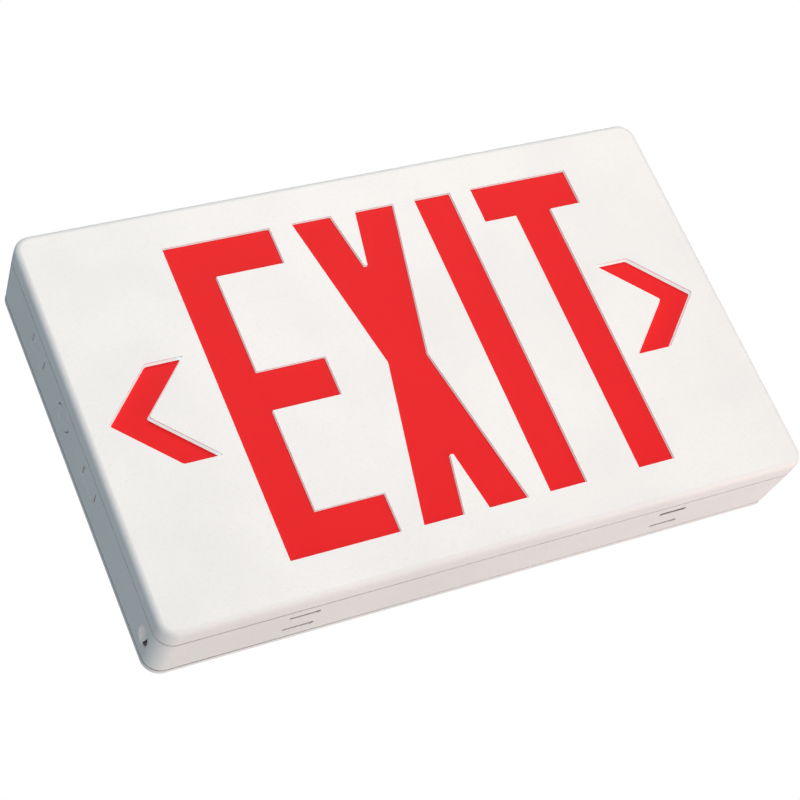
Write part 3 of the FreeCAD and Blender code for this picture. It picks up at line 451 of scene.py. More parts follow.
def combine(piece: bpy.types.Object, others: Sequence[bpy.types.Object], operation: str) -> bpy.types.Object:
    """Applies other pieces to one and removes them.

    Args:
        piece: what is changed.
        others: what is cut out of it or fused into it, one by one.
        operation: the boolean operation.

    Returns:
        The piece.
    """
    for other in others:
        apply_modifier(piece, "BOOLEAN", operation=operation, solver="EXACT", object=other)
        bpy.data.objects.remove(other)
    return piece


def cut(piece: bpy.types.Object, cutters: Sequence[bpy.types.Object]) -> bpy.types.Object:
    """Cuts the cutters out of the piece."""
    return combine(piece, cutters, "DIFFERENCE")


def fuse(piece: bpy.types.Object, others: Sequence[bpy.types.Object]) -> bpy.types.Object:
    """Fuses the others into the piece."""
    return combine(piece, others, "UNION")


def repeat(model: bpy.types.Object, places: Iterable[tuple[float, float]]) -> list[bpy.types.Object]:
    """Copies a piece to its places.

    Args:
        model: the piece, which is removed afterwards.
        places: how far each copy is moved in X and Z, in millimetres.

    Returns:
        The copies, each with its own mesh.
    """
    copies = []
    for x, z in places:
        copy = model.copy()
        copy.data = model.data.copy()
        bpy.context.scene.collection.objects.link(copy)
        with Edit(copy) as edit:
            edit.everything()
            edit.move(x, 0.0, z)
        copies.append(copy)
    bpy.data.objects.remove(model)
    return copies


def smooth(piece: bpy.types.Object, degrees: float = 35.0) -> bpy.types.Object:
    """Shades rounds smooth and keeps flat faces flat.

    Args:
        piece: what is shaded.
        degrees: the turn between two faces from which their edge stays sharp.

    Returns:
        The piece.
    """
    take(piece)
    bpy.ops.object.shade_smooth_by_angle(angle=math.radians(degrees))
    apply_modifier(piece, "WEIGHTED_NORMAL", mode="FACE_AREA", weight=100, keep_sharp=True)
    return piece


def break_edges(piece: bpy.types.Object, width: float) -> bpy.types.Object:
    """Gives every sharp edge a small round, as a mould does, then smooths the piece."""
    apply_modifier(piece, "BEVEL", width=width * MM, segments=2, limit_method="ANGLE",
                   angle_limit=math.radians(40.0), use_clamp_overlap=True, miter_outer="MITER_ARC")
    return smooth(piece)


# Shader graph


class Wire:
    """A socket of numbers whose operators add Math nodes."""

    def __init__(self, graph: "Graph", socket: bpy.types.NodeSocket) -> None:
        """Keeps the graph and the socket."""
        self.graph = graph
        self.socket = socket

    def _math(self, operation: str, first: object, second: object = None) -> "Wire":
        """One Math node."""
        values = {0: first} if second is None else {0: first, 1: second}
        return self.graph.number("ShaderNodeMath", {"operation": operation}, values)

    def __add__(self, other: object) -> "Wire":
        """Sum."""
        return self._math("ADD", self, other)

    __radd__ = __add__

    def __sub__(self, other: object) -> "Wire":
        """Difference."""
        return self._math("SUBTRACT", self, other)

    def __rsub__(self, other: object) -> "Wire":
        """Difference the other way round."""
        return self._math("SUBTRACT", other, self)

    def __mul__(self, other: object) -> "Wire":
        """Product."""
        return self._math("MULTIPLY", self, other)

    __rmul__ = __mul__

    def __truediv__(self, other: object) -> "Wire":
        """Quotient."""
        return self._math("DIVIDE", self, other)

    def __gt__(self, other: object) -> "Wire":
        """One where greater."""
        return self._math("GREATER_THAN", self, other)

    def __lt__(self, other: object) -> "Wire":
        """One where less."""
        return self._math("LESS_THAN", self, other)

    def __abs__(self) -> "Wire":
        """Absolute value."""
        return self._math("ABSOLUTE", self)

    def at_least(self, other: object) -> "Wire":
        """The larger one."""
        return self._math("MAXIMUM", self, other)


class NodeTree:
    """A node tree that is built from nothing."""

    def __init__(self, owner: bpy.types.ID) -> None:
        """Empties the tree of a material or a world."""
        owner.use_nodes = True
        self.tree = owner.node_tree
        self.tree.nodes.clear()

    def node(self, kind: str, settings: dict[str, object] | None = None,
             values: dict[object, object] | None = None) -> bpy.types.Node:
        """Adds a node: its settings first, then values or links for its sockets.

        Args:
            kind: the node's type.
            settings: attributes of the node.
            values: what its input sockets get, by name or number.

        Returns:
            The node.
        """
        made = self.tree.nodes.new(kind)
        for key, value in (settings or {}).items():
            setattr(made, key, value)
        for key, value in (values or {}).items():
            self.feed(made.inputs[key], value)
        return made

    def feed(self, socket: bpy.types.NodeSocket, value: object) -> None:
        """Fills an input.

        Args:
            socket: the input.
            value: a wire or a socket, which is linked, or a value, which is set.
        """
        if isinstance(value, Wire):
            value = value.socket
        if isinstance(value, bpy.types.NodeSocket):
            self.tree.links.new(value, socket)
        elif isinstance(value, tuple) and len(value) == 3 and len(socket.default_value) == 4:
            socket.default_value = (*value, 1.0)
        else:
            socket.default_value = value


class Graph(NodeTree):
    """The node tree of one material, with its shader."""

    def __init__(self, name: str) -> None:
        """Makes the material with a shader and an output.

        Args:
            name: the material's name.
        """
        self.material = bpy.data.materials.new(name)
        super().__init__(self.material)
        self.shader = self.node("ShaderNodeBsdfPrincipled")
        self.node("ShaderNodeOutputMaterial", values={"Surface": self.shader.outputs[0]})
        self.place = self.node("ShaderNodeTexCoord").outputs["Object"]

    def number(self, kind: str, settings: dict[str, object] | None = None,
               values: dict[object, object] | None = None, output: object = 0) -> Wire:
        """A node whose output is a number."""
        return Wire(self, self.node(kind, settings, values).outputs[output])

    def noise(self, size: float, detail: float = 2.0, stretch: Point = (1.0, 1.0, 1.0)) -> Wire:
        """Cloudy noise from 0 to 1 whose spots are about size millimetres across."""
        return self.number("ShaderNodeTexNoise", None,
                           {"Vector": self.scaled(stretch), "Scale": 1 / (size * MM), "Detail": detail},
                           "Fac")

    def scaled(self, stretch: Point) -> bpy.types.NodeSocket:
        """The place on the piece, with its directions scaled."""
        if tuple(stretch) == (1.0, 1.0, 1.0):
            return self.place
        mapping = self.node("ShaderNodeMapping", None, {"Vector": self.place, "Scale": tuple(stretch)})
        return mapping.outputs[0]

    def axes(self) -> tuple[Wire, Wire, Wire]:
        """The place on the piece in millimetres, as three numbers."""
        split = self.node("ShaderNodeSeparateXYZ", None, {0: self.place})
        return tuple(Wire(self, split.outputs[i]) / MM for i in range(3))

    def step(self, value: object, start: float, end: float) -> Wire:
        """A smooth rise from 0 at start to 1 at end."""
        return self.number("ShaderNodeMapRange", {"interpolation_type": "SMOOTHSTEP"},
                           {"Value": value, "From Min": start, "From Max": end, "To Min": 0.0, "To Max": 1.0})

    def blend(self, mask: object, first: object, second: object) -> bpy.types.NodeSocket:
        """The first colour where the mask is 0 and the second where it is 1."""
        return self.node("ShaderNodeMix", {"data_type": "RGBA"}, {0: mask, 6: first, 7: second}).outputs[2]

    def bump(self, height: object, depth: float, strength: float = 1.0,
             under: object = None) -> bpy.types.NodeSocket:
        """Relief.

        Args:
            height: from 0 to 1.
            depth: how deep the relief is, in millimetres.
            strength: how much of it shows.
            under: the coarser relief that it lies on.

        Returns:
            The normal.
        """
        values = {"Height": height, "Strength": strength, "Distance": depth * MM}
        if under is not None:
            values["Normal"] = under
        return self.node("ShaderNodeBump", None, values).outputs[0]

    def dress(self, **sockets: object) -> bpy.types.Material:
        """Feeds the shader by socket name, with spaces as underscores, and returns the material."""
        for key, value in sockets.items():
            self.feed(self.shader.inputs[key.replace("_", " ")], value)
        return self.material


# Finishes


@dataclass(frozen=True)
class MouldedPlastic:
    """An opaque moulding with a fine spark-eroded grain and slightly uneven colour; it can also carry a
    painted glow on the walls of the openings and painted shadow in the seam grooves.
    """

    name: str
    base: Colour
    tint: Colour
    roughness: float = 0.42
    grain: float = 0.5
    relief: float = 0.012
    # How strong the painted glow on the walls of the openings is; 0 paints none.
    painted_wall_glow: float = 0.0
    # Painted shadow: how strong it is (0 paints none), the depths of the two seam grooves it darkens, and the
    # box in the notch's hole it darkens, as middle and half sizes.
    painted_seam_shadow: float = 0.0
    front_seam_y: float = -31.35
    rear_seam_y: float = -3.85
    notch_hole: tuple[Point, Point] = ((-147.4, -14.4, -85.0), (6.0, 4.25, 2.45))
    legend_half: tuple[float, float] = (146.0, 80.0)
    # The colour of the painted shadow.
    shade: Colour = (0.24, 0.22, 0.21)
    # The colour of the painted glow.
    glow_colour: Colour = (0.55, 1.0, 1.0)

    def painted_seam_shadows(self, graph: Graph) -> Wire:
        """Painted shadow in the shell's two seam grooves, stronger towards the left wall, and in the hole of
        its notch.

        Args:
            graph: the material's graph.

        Returns:
            The share of the painted shadow's colour.
        """
        x, y, z = graph.axes()
        front = graph.step(abs(y - self.front_seam_y), 0.8, 0.2)
        rear = graph.step(abs(y - self.rear_seam_y), 0.75, 0.4)
        in_x, in_y, in_z = (abs(w - middle) < half for w, middle, half in zip((x, y, z), *self.notch_hole))
        # The painted shadow in the seam grooves fades from the left wall towards the right.
        fade = graph.step(x, 20.0, -150.0) * 0.8 + 0.2
        return ((front * 0.4 + rear) * fade + in_x * in_y * in_z * 1.5) * self.painted_seam_shadow

    def glow(self, graph: Graph) -> bpy.types.NodeSocket:
        """A painted glow on the walls of the openings next to the lens, none on the faces.

        Args:
            graph: the material's graph.

        Returns:
            The colour of the painted glow that the walls send out.
        """
        x, y, z = graph.axes()
        behind = graph.step(y, -40.75, -40.2) * (1.0 - graph.step(y, -38.95, -38.85))
        inside = (abs(x) < self.legend_half[0]) * (abs(z) < self.legend_half[1])
        return graph.blend(behind * inside * self.painted_wall_glow, BLACK, self.glow_colour)

    def material(self) -> bpy.types.Material:
        """Its material."""
        graph = Graph(self.name)
        clouds = graph.noise(60.0, 3.0)
        speckle = graph.noise(self.grain, 2.0)
        colour = graph.blend(graph.step(clouds, 0.35, 0.7), self.base, self.tint)
        fleck = graph.noise(1.1, 2.0)
        colour = graph.blend(graph.step(fleck, 0.52, 0.68) * 0.25, colour, tuple(0.9 * c for c in self.tint))
        # Darkens the seam grooves and the notch's hole with painted shadow.
        if self.painted_seam_shadow:
            colour = graph.blend(self.painted_seam_shadows(graph), colour, self.shade)
        waves = graph.noise(14.0, 1.0)
        broad = graph.bump(waves, 0.05, 0.35)
        fine = graph.bump(speckle, self.relief, 1.0, broad)
        rough = self.roughness + (speckle - 0.5) * 0.16 + (clouds - 0.5) * 0.08
        # A painted glow on the walls of the openings, sent out as emission.
        glow = self.glow(graph) if self.painted_wall_glow else BLACK
        return graph.dress(Base_Color=colour, Roughness=rough, Normal=fine, IOR=1.49, Emission_Color=glow,
                           Emission_Strength=1.0)


@dataclass(frozen=True)
class RedDiffuser:
    """Translucent red acrylic, satin on its face, with a faint painted red glow."""

    name: str = "red_diffuser"
    base: Colour = (0.77, 0.007, 0.010)
    deep: Colour = (0.73, 0.005, 0.008)

    def material(self) -> bpy.types.Material:
        """Its material."""
        graph = Graph(self.name)
        clouds = graph.noise(35.0, 2.0)
        pebbles = graph.noise(0.9, 1.0)
        colour = graph.blend(clouds, self.base, self.deep)
        relief = graph.bump(pebbles, 0.01, 0.8)
        rough = 0.5 + (pebbles - 0.5) * 0.1
        # The faint red emission is a painted glow that keeps the red full in shade; no lamp lights the lens.
        return graph.dress(Base_Color=colour, Roughness=rough, Normal=relief, Specular_IOR_Level=0.12,
                           Emission_Color=(0.8, 0.01, 0.012), Emission_Strength=0.08)


@dataclass(frozen=True)
class Metal:
    """Plated or bare metal with fine rolling marks."""

    name: str
    base: Colour
    roughness: float = 0.35
    mark: Point = (1.0, 1.0, 1.0)

    def material(self) -> bpy.types.Material:
        """Its material."""
        graph = Graph(self.name)
        clouds = graph.noise(7.0, 3.0)
        marks = graph.noise(0.6, 2.0, self.mark)
        darker = tuple(0.72 * c for c in self.base)
        colour = graph.blend(graph.step(clouds, 0.3, 0.8), self.base, darker)
        rough = self.roughness + (clouds - 0.5) * 0.2 + (marks - 0.5) * 0.15
        return graph.dress(Base_Color=colour, Roughness=rough, Metallic=1.0,
                           Normal=graph.bump(marks, 0.01, 0.6))


@dataclass(frozen=True)
class CircuitBoard:
    """Solder mask over copper tracks, with tinned pads and printed outlines of the parts."""

    name: str
    mask: Colour
    track: Colour
    pitch: float = 3.2
    outlines: tuple[tuple[float, float, float, float], ...] = ()

    def material(self) -> bpy.types.Material:
        """Its material."""
        graph = Graph(self.name)
        x, y, z = graph.axes()
        patch = graph.node("ShaderNodeTexVoronoi", {"distance": "CHEBYCHEV"},
                           {"Vector": graph.place, "Scale": 1 / (3 * self.pitch * MM), "Randomness": 0.8})
        split = graph.node("ShaderNodeSeparateColor", None, {"Color": patch.outputs["Color"]})
        turn, filled, third = (Wire(graph, socket) for socket in split.outputs)
        across, along = (graph.number("ShaderNodeMath", {"operation": "PINGPONG"}, {0: w, 1: self.pitch / 4})
                         for w in (x, z))
        across, along = across < self.pitch * 0.06, along < self.pitch * 0.06
        upright = turn > 0.5
        tracks = (across * upright + along * (1 - upright)) * (filled > 0.4)
        pads = graph.step(graph.number("ShaderNodeTexVoronoi", {"feature": "F1"},
                                       {"Vector": graph.place, "Scale": 1 / (1.6 * self.pitch * MM),
                                        "Randomness": 0.5}, "Distance"), 0.13, 0.10)
        colour = graph.blend(tracks * 0.85, self.mask, self.track)
        colour = graph.blend(pads, colour, (0.62, 0.60, 0.56))
        for left, low, width, height in self.outlines:
            dx = abs(x - (left + width / 2)) - width / 2
            dz = abs(z - (low + height / 2)) - height / 2
            line = abs(dx.at_least(dz)) < 0.14
            colour = graph.blend(line * (y < -10.7), colour, (0.85, 0.86, 0.83))
        cloud = graph.noise(5.0)
        relief = graph.bump(tracks + pads * 0.5, 0.03, 0.8)
        return graph.dress(Base_Color=colour, Roughness=0.28 + cloud * 0.14, Metallic=pads * 0.9,
                           Normal=relief)


@dataclass(frozen=True)
class Layered:
    """A stack of thin layers along one direction, such as laminations or wound tape."""

    name: str
    base: Colour
    edge: Colour
    layer: float
    axis: Axis
    metallic: float = 0.0
    roughness: float = 0.4

    def material(self) -> bpy.types.Material:
        """Its material."""
        graph = Graph(self.name)
        place = graph.axes()[self.axis.value]
        wave = graph.number("ShaderNodeMath", {"operation": "SINE"}, {0: place * (math.tau / self.layer)})
        height = wave * 0.5 + 0.5
        cloud = graph.noise(4.0, 3.0)
        colour = graph.blend(graph.step(cloud, 0.35, 0.75), self.base, self.edge)
        colour = graph.blend(graph.step(height, 0.35, 0.0) * 0.6, colour, tuple(0.35 * c for c in self.base))
        return graph.dress(Base_Color=colour, Metallic=self.metallic, Roughness=self.roughness + cloud * 0.15,
                           Normal=graph.bump(height, 0.06, 0.7))


@dataclass(frozen=True)
class ShrinkFilm:
    """Glossy shrunk film with soft wrinkles across the pack."""

    name: str
    base: Colour
    edge: Colour

    def material(self) -> bpy.types.Material:
        """Its material."""
        graph = Graph(self.name)
        folds = graph.noise(5.0, 3.0, (0.35, 1.0, 1.0))
        cloud = graph.noise(18.0)
        colour = graph.blend(graph.step(cloud, 0.3, 0.7), self.base, self.edge)
        return graph.dress(Base_Color=colour, Roughness=0.22 + folds * 0.16,
                           Normal=graph.bump(folds, 0.12, 0.6), Coat_Weight=0.3)


@dataclass(frozen=True)
class Glow:
    """A clear coloured moulding that passes light, such as an indicator or a phosphor."""

    name: str
    base: Colour
    light: float
    roughness: float = 0.2

    def material(self) -> bpy.types.Material:
        """Its material."""
        graph = Graph(self.name)
        cloud = graph.noise(0.8)
        darker = tuple(0.8 * c for c in self.base)
        colour = graph.blend(cloud, self.base, darker)
        return graph.dress(Base_Color=colour, Roughness=self.roughness + cloud * 0.08,
                           Emission_Color=self.base, Emission_Strength=self.light,
                           Normal=graph.bump(cloud, 0.02, 0.3))


@dataclass(frozen=True)
class TabbedChip:
    """A black moulded part whose plated tab lies on one side of a plane across X."""

    name: str
    tab_from: float

    def material(self) -> bpy.types.Material:
        """Its material."""
        graph = Graph(self.name)
        x, y, z = graph.axes()
        tab = x > self.tab_from
        speckle = graph.noise(0.4)
        colour = graph.blend(tab, (0.018, 0.018, 0.02), (0.66, 0.65, 0.62))
        return graph.dress(Base_Color=colour, Metallic=tab, Roughness=0.34 + speckle * 0.2,
                           Normal=graph.bump(speckle, 0.02, 0.5))


# Body of the sign


@dataclass
class Legend:
    """The openings of the face: four block letters and two chevrons."""

    height: float = 152.4
    letter: float = 50.7
    gap: float = 10.6
    stroke: float = 18.5
    middle_bar: float = 19.1
    mouth: float = 12.1
    notch: float = 27.8
    notch_tip: float = 1.5
    waist: float = 19.5
    left: float = -93.4
    centre_z: float = -0.5
    chevron_reach: float = 143.2
    chevron_half: float = 24.1
    chevron_band: float = 17.6
    chevron_round: float = 0.9
    chevron_draft: float = 0.25
    chevron_x: float = -1.1
    chevron_z: float = -0.2
    stake_x: float = 140.7
    stake_z: float = 79.7

    def starts(self) -> list[float]:
        """The left edges of the four letters."""
        widths = (self.letter, self.letter, self.stroke)
        starts = [self.left]
        for width in widths:
            starts.append(starts[-1] + width + self.gap)
        return starts

    def stakes(self) -> list[tuple[float, float]]:
        """Where the lens is staked to the face, in X and Z: at the corners and beside the X."""
        starts = self.starts()
        columns = [-self.stake_x, self.stake_x] + [starts[i] - self.gap / 2 for i in (1, 3)]
        return [(x, side * self.stake_z) for x in columns for side in (-1, 1)]

    def letters(self) -> list[Outline]:
        """The outlines of the letters in X and Z."""
        top = self.centre_z + self.height / 2
        low = self.centre_z - self.height / 2
        e, x, i, t = self.starts()
        right = e + self.letter
        spine = e + self.stroke
        half = self.middle_bar / 2
        mid = self.centre_z
        letter_e = [(e, low), (right, low), (right, low + self.stroke), (spine, low + self.stroke),
                    (spine, mid - half), (right, mid - half), (right, mid + half), (spine, mid + half),
                    (spine, top - self.stroke), (right, top - self.stroke), (right, top), (e, top)]
        centre = x + self.letter / 2
        m, n, w = self.mouth / 2, self.notch_tip / 2, self.waist / 2
        letter_x = [(x, low), (centre - m, low), (centre - n, low + self.notch),
                    (centre + n, low + self.notch), (centre + m, low), (x + self.letter, low),
                    (centre + w, mid), (x + self.letter, top),
                    (centre + m, top), (centre + n, top - self.notch), (centre - n, top - self.notch),
                    (centre - m, top), (x, top), (centre - w, mid)]
        letter_i = [(i, low), (i + self.stroke, low), (i + self.stroke, top), (i, top)]
        stem = t + self.letter / 2
        s = self.stroke / 2
        letter_t = [(stem - s, low), (stem + s, low), (stem + s, top - self.stroke),
                    (t + self.letter, top - self.stroke), (t + self.letter, top), (t, top),
                    (t, top - self.stroke), (stem - s, top - self.stroke)]
        return [letter_e, letter_x, letter_i, letter_t]

    def chevron(self, side: int) -> Outline:
        """The arrow head that points to side -1 or 1."""
        tip, h, band = self.chevron_reach, self.chevron_half, self.chevron_band
        points = [(tip - h - band, -h), (tip - h, -h), (tip, 0.0), (tip - h, h), (tip - h - band, h),
                  (tip - band, 0.0)]
        return [(self.chevron_x + side * x, self.chevron_z + z) for x, z in points]

    def letter_blocks(self, y0: float, y1: float) -> list[bpy.types.Object]:
        """The letters as solids between two depths."""
        return [prism("letter", standing(outline, y0), (0.0, y1 - y0, 0.0)) for outline in self.letters()]

    def chevron_blocks(self, y0: float, face_y: float, y1: float) -> list[bpy.types.Object]:
        """The chevrons as solids that draw in behind the face, with their corners rounded.

        Args:
            y0: where they begin, in front of the face.
            face_y: the face's depth.
            y1: where they end.

        Returns:
            The left and the right one.
        """
        blocks = []
        for side in (-1, 1):
            head = prism("chevron", standing(self.chevron(side), y0), (0.0, face_y - y0, 0.0))
            with Edit(head) as edit:
                edit.faces(lambda at, normal: normal.y > 0.9)
                edit.inset(self.chevron_draft * (y1 - face_y), y1 - face_y)
            blocks.append(round_edges(head, lambda at, way: abs(way.y) > 0.75, self.chevron_round, 5))
        return blocks


@dataclass
class Shell:
    """Sizes that the cover, the frame and the back plate share, with the snap hooks that hold them."""

    half_w: float = 155.0
    half_h: float = 95.0
    face_y: float = -41.0
    face_wall: float = 2.2
    corner: float = 8.0
    taper: float = 0.8
    frame_front_y: float = -31.2
    frame_back_y: float = -3.8
    slot_rows: tuple[float, float] = (-25.0, -13.0)
    hook_x: float = 90.0
    hook_width: float = 12.0
    hook_thickness: float = 1.6
    hook_nose: float = 1.1
    hook_gap: float = 2.7

    def pull(self, y: float) -> float:
        """How far the tapered walls have come in at a depth."""
        return self.taper * (y - self.frame_front_y) / (self.frame_back_y - self.frame_front_y)

    def hook(self, side_x: int, side_z: int, root_y: float, slot_y: float) -> bpy.types.Object:
        """A snap hook with its nose in its slot.

        Args:
            side_x: -1 or 1, the half of the sign across.
            side_z: -1 or 1, the bottom or the top wall.
            root_y: where it stands on its moulding.
            slot_y: the middle of the slot.

        Returns:
            The hook.
        """
        toward = 1 if slot_y > root_y else -1
        out = self.half_h - self.pull(slot_y) - self.hook_gap
        inner, tip = out - self.hook_thickness, out + self.hook_nose
        nose, flat, end = slot_y - toward * 0.4, slot_y + toward * 0.4, slot_y + toward * 0.9
        outline = [(root_y, inner), (root_y, out), (nose, out), (nose, tip), (flat, tip), (end, out),
                   (end, inner)]
        x = side_x * self.hook_x - self.hook_width / 2
        arm = prism("hook", [(x, y, side_z * z) for y, z in outline], (self.hook_width, 0.0, 0.0))
        return round_along(arm, Axis.X, 0.12, 2)

    def hooks(self, root_y: float, slot_y: float) -> list[bpy.types.Object]:
        """The four hooks of one moulding."""
        return [self.hook(side_x, side_z, root_y, slot_y) for side_x in (-1, 1) for side_z in (-1, 1)]


@dataclass
class FaceCover:
    """The white face moulding with the openings cut through it."""

    shell: Shell
    legend: Legend
    skirt: float = 9.5
    skirt_wall: float = 2.0
    front_round: float = 2.8
    rear_round: float = 0.7
    inner_round: float = 0.8
    opening_round: float = 0.18
    chevron_edge: float = 0.35
    field_half_w: float = 149.0
    stake_half: float = 1.5
    stake_head: float = 2.5

    def build(self) -> bpy.types.Object:
        """Models the moulding."""
        s = self.shell
        back = s.face_y + self.skirt
        inner_y = s.face_y + s.face_wall
        cover = plate_block("face_cover_dressed", (-s.half_w, s.face_y, -s.half_h),
                            (s.half_w, back, s.half_h), s.corner, 12)
        round_rim(cover, s.face_y, self.front_round, 8)
        round_rim(cover, back, self.rear_round, 3)
        w, h = s.half_w - self.skirt_wall, s.half_h - self.skirt_wall
        hollow = plate_block("hollow", (-w, inner_y, -h), (w, back + 1.0, h), s.corner - self.skirt_wall, 10)
        round_rim(hollow, inner_y, self.inner_round, 4)
        cut(cover, [hollow, *self.legend.chevron_blocks(s.face_y - 1.0, s.face_y, inner_y + 1.0)])
        round_edges(cover, lambda at, way: near(at.y, s.face_y) and abs(at.x) < self.field_half_w
                    and abs(way.y) < 0.1, self.chevron_edge, 3)
        cut(cover, self.legend.letter_blocks(s.face_y - 1.0, inner_y + 1.0))
        break_edges(cover, self.opening_round)
        return join([cover, *s.hooks(inner_y - 0.2, s.slot_rows[0]), *self.stakes(inner_y)])

    def stakes(self, inner_y: float) -> list[bpy.types.Object]:
        """The heat stakes that hold the lens.

        Args:
            inner_y: the depth of the face's back, where they stand.

        Returns:
            The stakes, each with its melted head.
        """
        a, b = self.stake_half, self.stake_head
        head = soft_block("stake", (-b, inner_y + 1.5, -b), (b, inner_y + 2.4, b), 0.4, 3)
        stem = block("stem", (-a, inner_y - 0.2, -a), (a, inner_y + 1.7, a))
        return repeat(join([head, stem]), self.legend.stakes())


@dataclass
class LegendLens:
    """The red sheet behind the face, with raised pads in the letter openings."""

    shell: Shell
    legend: Legend
    reach_x: float = 148.2
    reach_z: float = 83.2
    corner: float = 3.0
    thickness: float = 1.5
    recess: float = 1.0
    pad_gap: float = 0.2
    pad_edge: float = 0.12
    hole_half: float = 1.6

    def build(self) -> bpy.types.Object:
        """Models the sheet with its pads."""
        front = self.shell.face_y + self.shell.face_wall
        sheet = plate_block("legend_lens_dressed", (-self.reach_x, front, -self.reach_z),
                            (self.reach_x, front + self.thickness, self.reach_z), self.corner, 6)
        half = self.hole_half
        cut(sheet, [block("hole", (x - half, front - 1.0, z - half), (x + half, front + 3.0, z + half))
                    for x, z in self.legend.stakes()])
        pads = self.legend.letter_blocks(self.shell.face_y + self.recess - self.pad_gap, front + 0.4)
        for pad in pads:
            with Edit(pad) as edit:
                edit.everything()
                bpy.ops.transform.shrink_fatten(value=-self.pad_gap * MM, use_even_offset=True)
            break_edges(pad, self.pad_edge)
        return join([smooth(sheet), *pads])


@dataclass
class HousingFrame:
    """The tapered ring with its knock-outs, slots, release notch, tongues and strip clips."""

    shell: Shell
    wall: float = 2.4
    edge: float = 0.15
    seam_step: float = 0.45
    knock_y: float = -21.2
    knock_pitch: float = 32.2
    knock_long: float = 15.2
    knock_wide: float = 8.6
    knock_outer: float = 6.7
    knock_inner: float = 5.9
    left_knock_z: float = 17.5
    groove: float = 0.9
    groove_depth: float = 0.7
    slit: float = 1.25
    slit_long: float = 7.0
    slit_skin: float = 1.6
    room: float = 2.8
    through: float = 5.0
    slot_half: float = 0.9
    wide_slot_half: float = 1.25
    slot_reach: float = 7.0
    slot_skin: float = 0.4
    channel_skin: float = 1.3
    notch_y: float = -17.6
    notch_z: float = -82.4
    notch_radius: float = 4.3
    notch_stretch: float = 1.6
    tongue: float = 1.4
    tongue_gap: float = 2.3
    strip_y: float = -14.0
    clip_pitch: float = 60.0
    clip_width: float = 6.0

    def ring_block(self, name: str, y0: float, y1: float, pull: float) -> bpy.types.Object:
        """A block with the ring's rounded and tapered sides.

        Args:
            name: the piece's name.
            y0: its front.
            y1: its back.
            pull: how far it lies inside the ring's outer faces.

        Returns:
            The block.
        """
        s = self.shell
        w, h = s.half_w - s.pull(y0) - pull, s.half_h - s.pull(y0) - pull
        ring = plate_block(name, (-w, y0, -h), (w, y1, h), s.corner - pull, 12)
        drop = s.pull(y1) - s.pull(y0)
        with Edit(ring) as edit:
            edit.faces(lambda at, normal: normal.y > 0.9)
            edit.scale((w - drop) / w, 1.0, (h - drop) / h)
        return ring

    def face(self, side: Axis) -> float:
        """How far out a wall's face lies at the knock-outs' depth."""
        half = self.shell.half_w if side is Axis.X else self.shell.half_h
        return half - self.shell.pull(self.knock_y)

    def wall_block(self, side: Axis, sign: int, u: float, length: float, width: float,
                   depth: float) -> tuple[Point, Point]:
        """The corners of a block that reaches into a wall at the knock-outs' depth.

        Args:
            side: the direction that the wall faces; an X wall runs along Z and a Z wall along X.
            sign: -1 or 1, which of the two walls.
            u: the block's place along the wall.
            length: its size along the wall.
            width: its size along Y.
            depth: how far in from the wall's face it goes.

        Returns:
            The low and the high corner.
        """
        out = self.face(side)
        y = self.knock_y
        low, high = span(sign, out + 1.0, out - depth)
        if side is Axis.X:
            return (low, y - width / 2, u - length / 2), (high, y + width / 2, u + length / 2)
        return (u - length / 2, y - width / 2, low), (u + length / 2, y + width / 2, high)

    def knock_outs(self, side: Axis, sign: int, centre: float) -> list[bpy.types.Object]:
        """Cutters of a round knock-out between two rectangular ones.

        Args:
            side: the direction that their wall faces.
            sign: -1 or 1, which of the two walls.
            centre: the round one's place along the wall.

        Returns:
            The cutters of their grooves and of the slits that leave only webs.
        """
        cutters = []
        for step in (-1, 1):
            u = centre + step * self.knock_pitch
            corners = self.wall_block(side, sign, u, self.knock_long, self.knock_wide, self.groove_depth)
            cutters.append(frame_block("groove", *corners, side, self.groove))
            for end in (-1, 1):
                v = u + end * (self.knock_long / 2 - self.slit / 2)
                corners = self.wall_block(side, sign, v, self.slit, self.slit_long, self.through)
                cutters.append(block("slit", *corners))
                corners = self.wall_block(side, sign, v + self.room / 2, self.slit + self.room,
                                          self.slit_long, self.through)
                low, high = (Vector(corner) + side.unit * (-sign * self.slit_skin) for corner in corners)
                cutters.append(block("slit_room", tuple(low), tuple(high)))
        for depth, webbed in ((self.groove_depth, False), (self.through, True)):
            low = span(sign, self.face(side) + 1.0, self.face(side) - depth)[0]
            start = (low, self.knock_y, centre) if side is Axis.X else (centre, self.knock_y, low)
            ring = tube("round", start, side, depth + 1.0, self.knock_outer, self.knock_inner)
            if webbed:
                cut(ring, [block("web", *self.wall_block(side, sign, centre, 8.0, 16.0, 7.0))])
            cutters.append(ring)
        return cutters

    def slots(self) -> list[bpy.types.Object]:
        """Cutters of the hook slots and of the channels inside the top and bottom walls."""
        cutters = []
        for sx in (-1, 1):
            for sz in (-1, 1):
                x = sx * self.shell.hook_x
                for y in self.shell.slot_rows:
                    cutters += self.slot(x, y, sz, sx > 0 and y == self.shell.slot_rows[0])
                for y0, y1 in ((-38.0, -24.1), (-13.9, 0.0)):
                    middle = (y0 + y1) / 2
                    cutters.append(self.hollow("channel", x, sz, y0, y1, middle, 7.4, self.channel_skin))
        return cutters

    def hollow(self, name: str, x: float, sz: int, y0: float, y1: float, y: float, reach: float,
               skin: float) -> bpy.types.Object:
        """A cutter inside the top or bottom wall.

        Args:
            name: the piece's name.
            x: its middle.
            sz: -1 for the bottom wall, 1 for the top.
            y0: its front.
            y1: its back.
            y: the depth at which the wall's thickness is taken.
            reach: half its width.
            skin: what it leaves of the wall.

        Returns:
            The cutter.
        """
        top = self.shell.half_h - self.shell.pull(y) - skin
        low, high = span(sz, top, top - 5.0)
        return block(name, (x - reach, y0, low), (x + reach, y1, high))

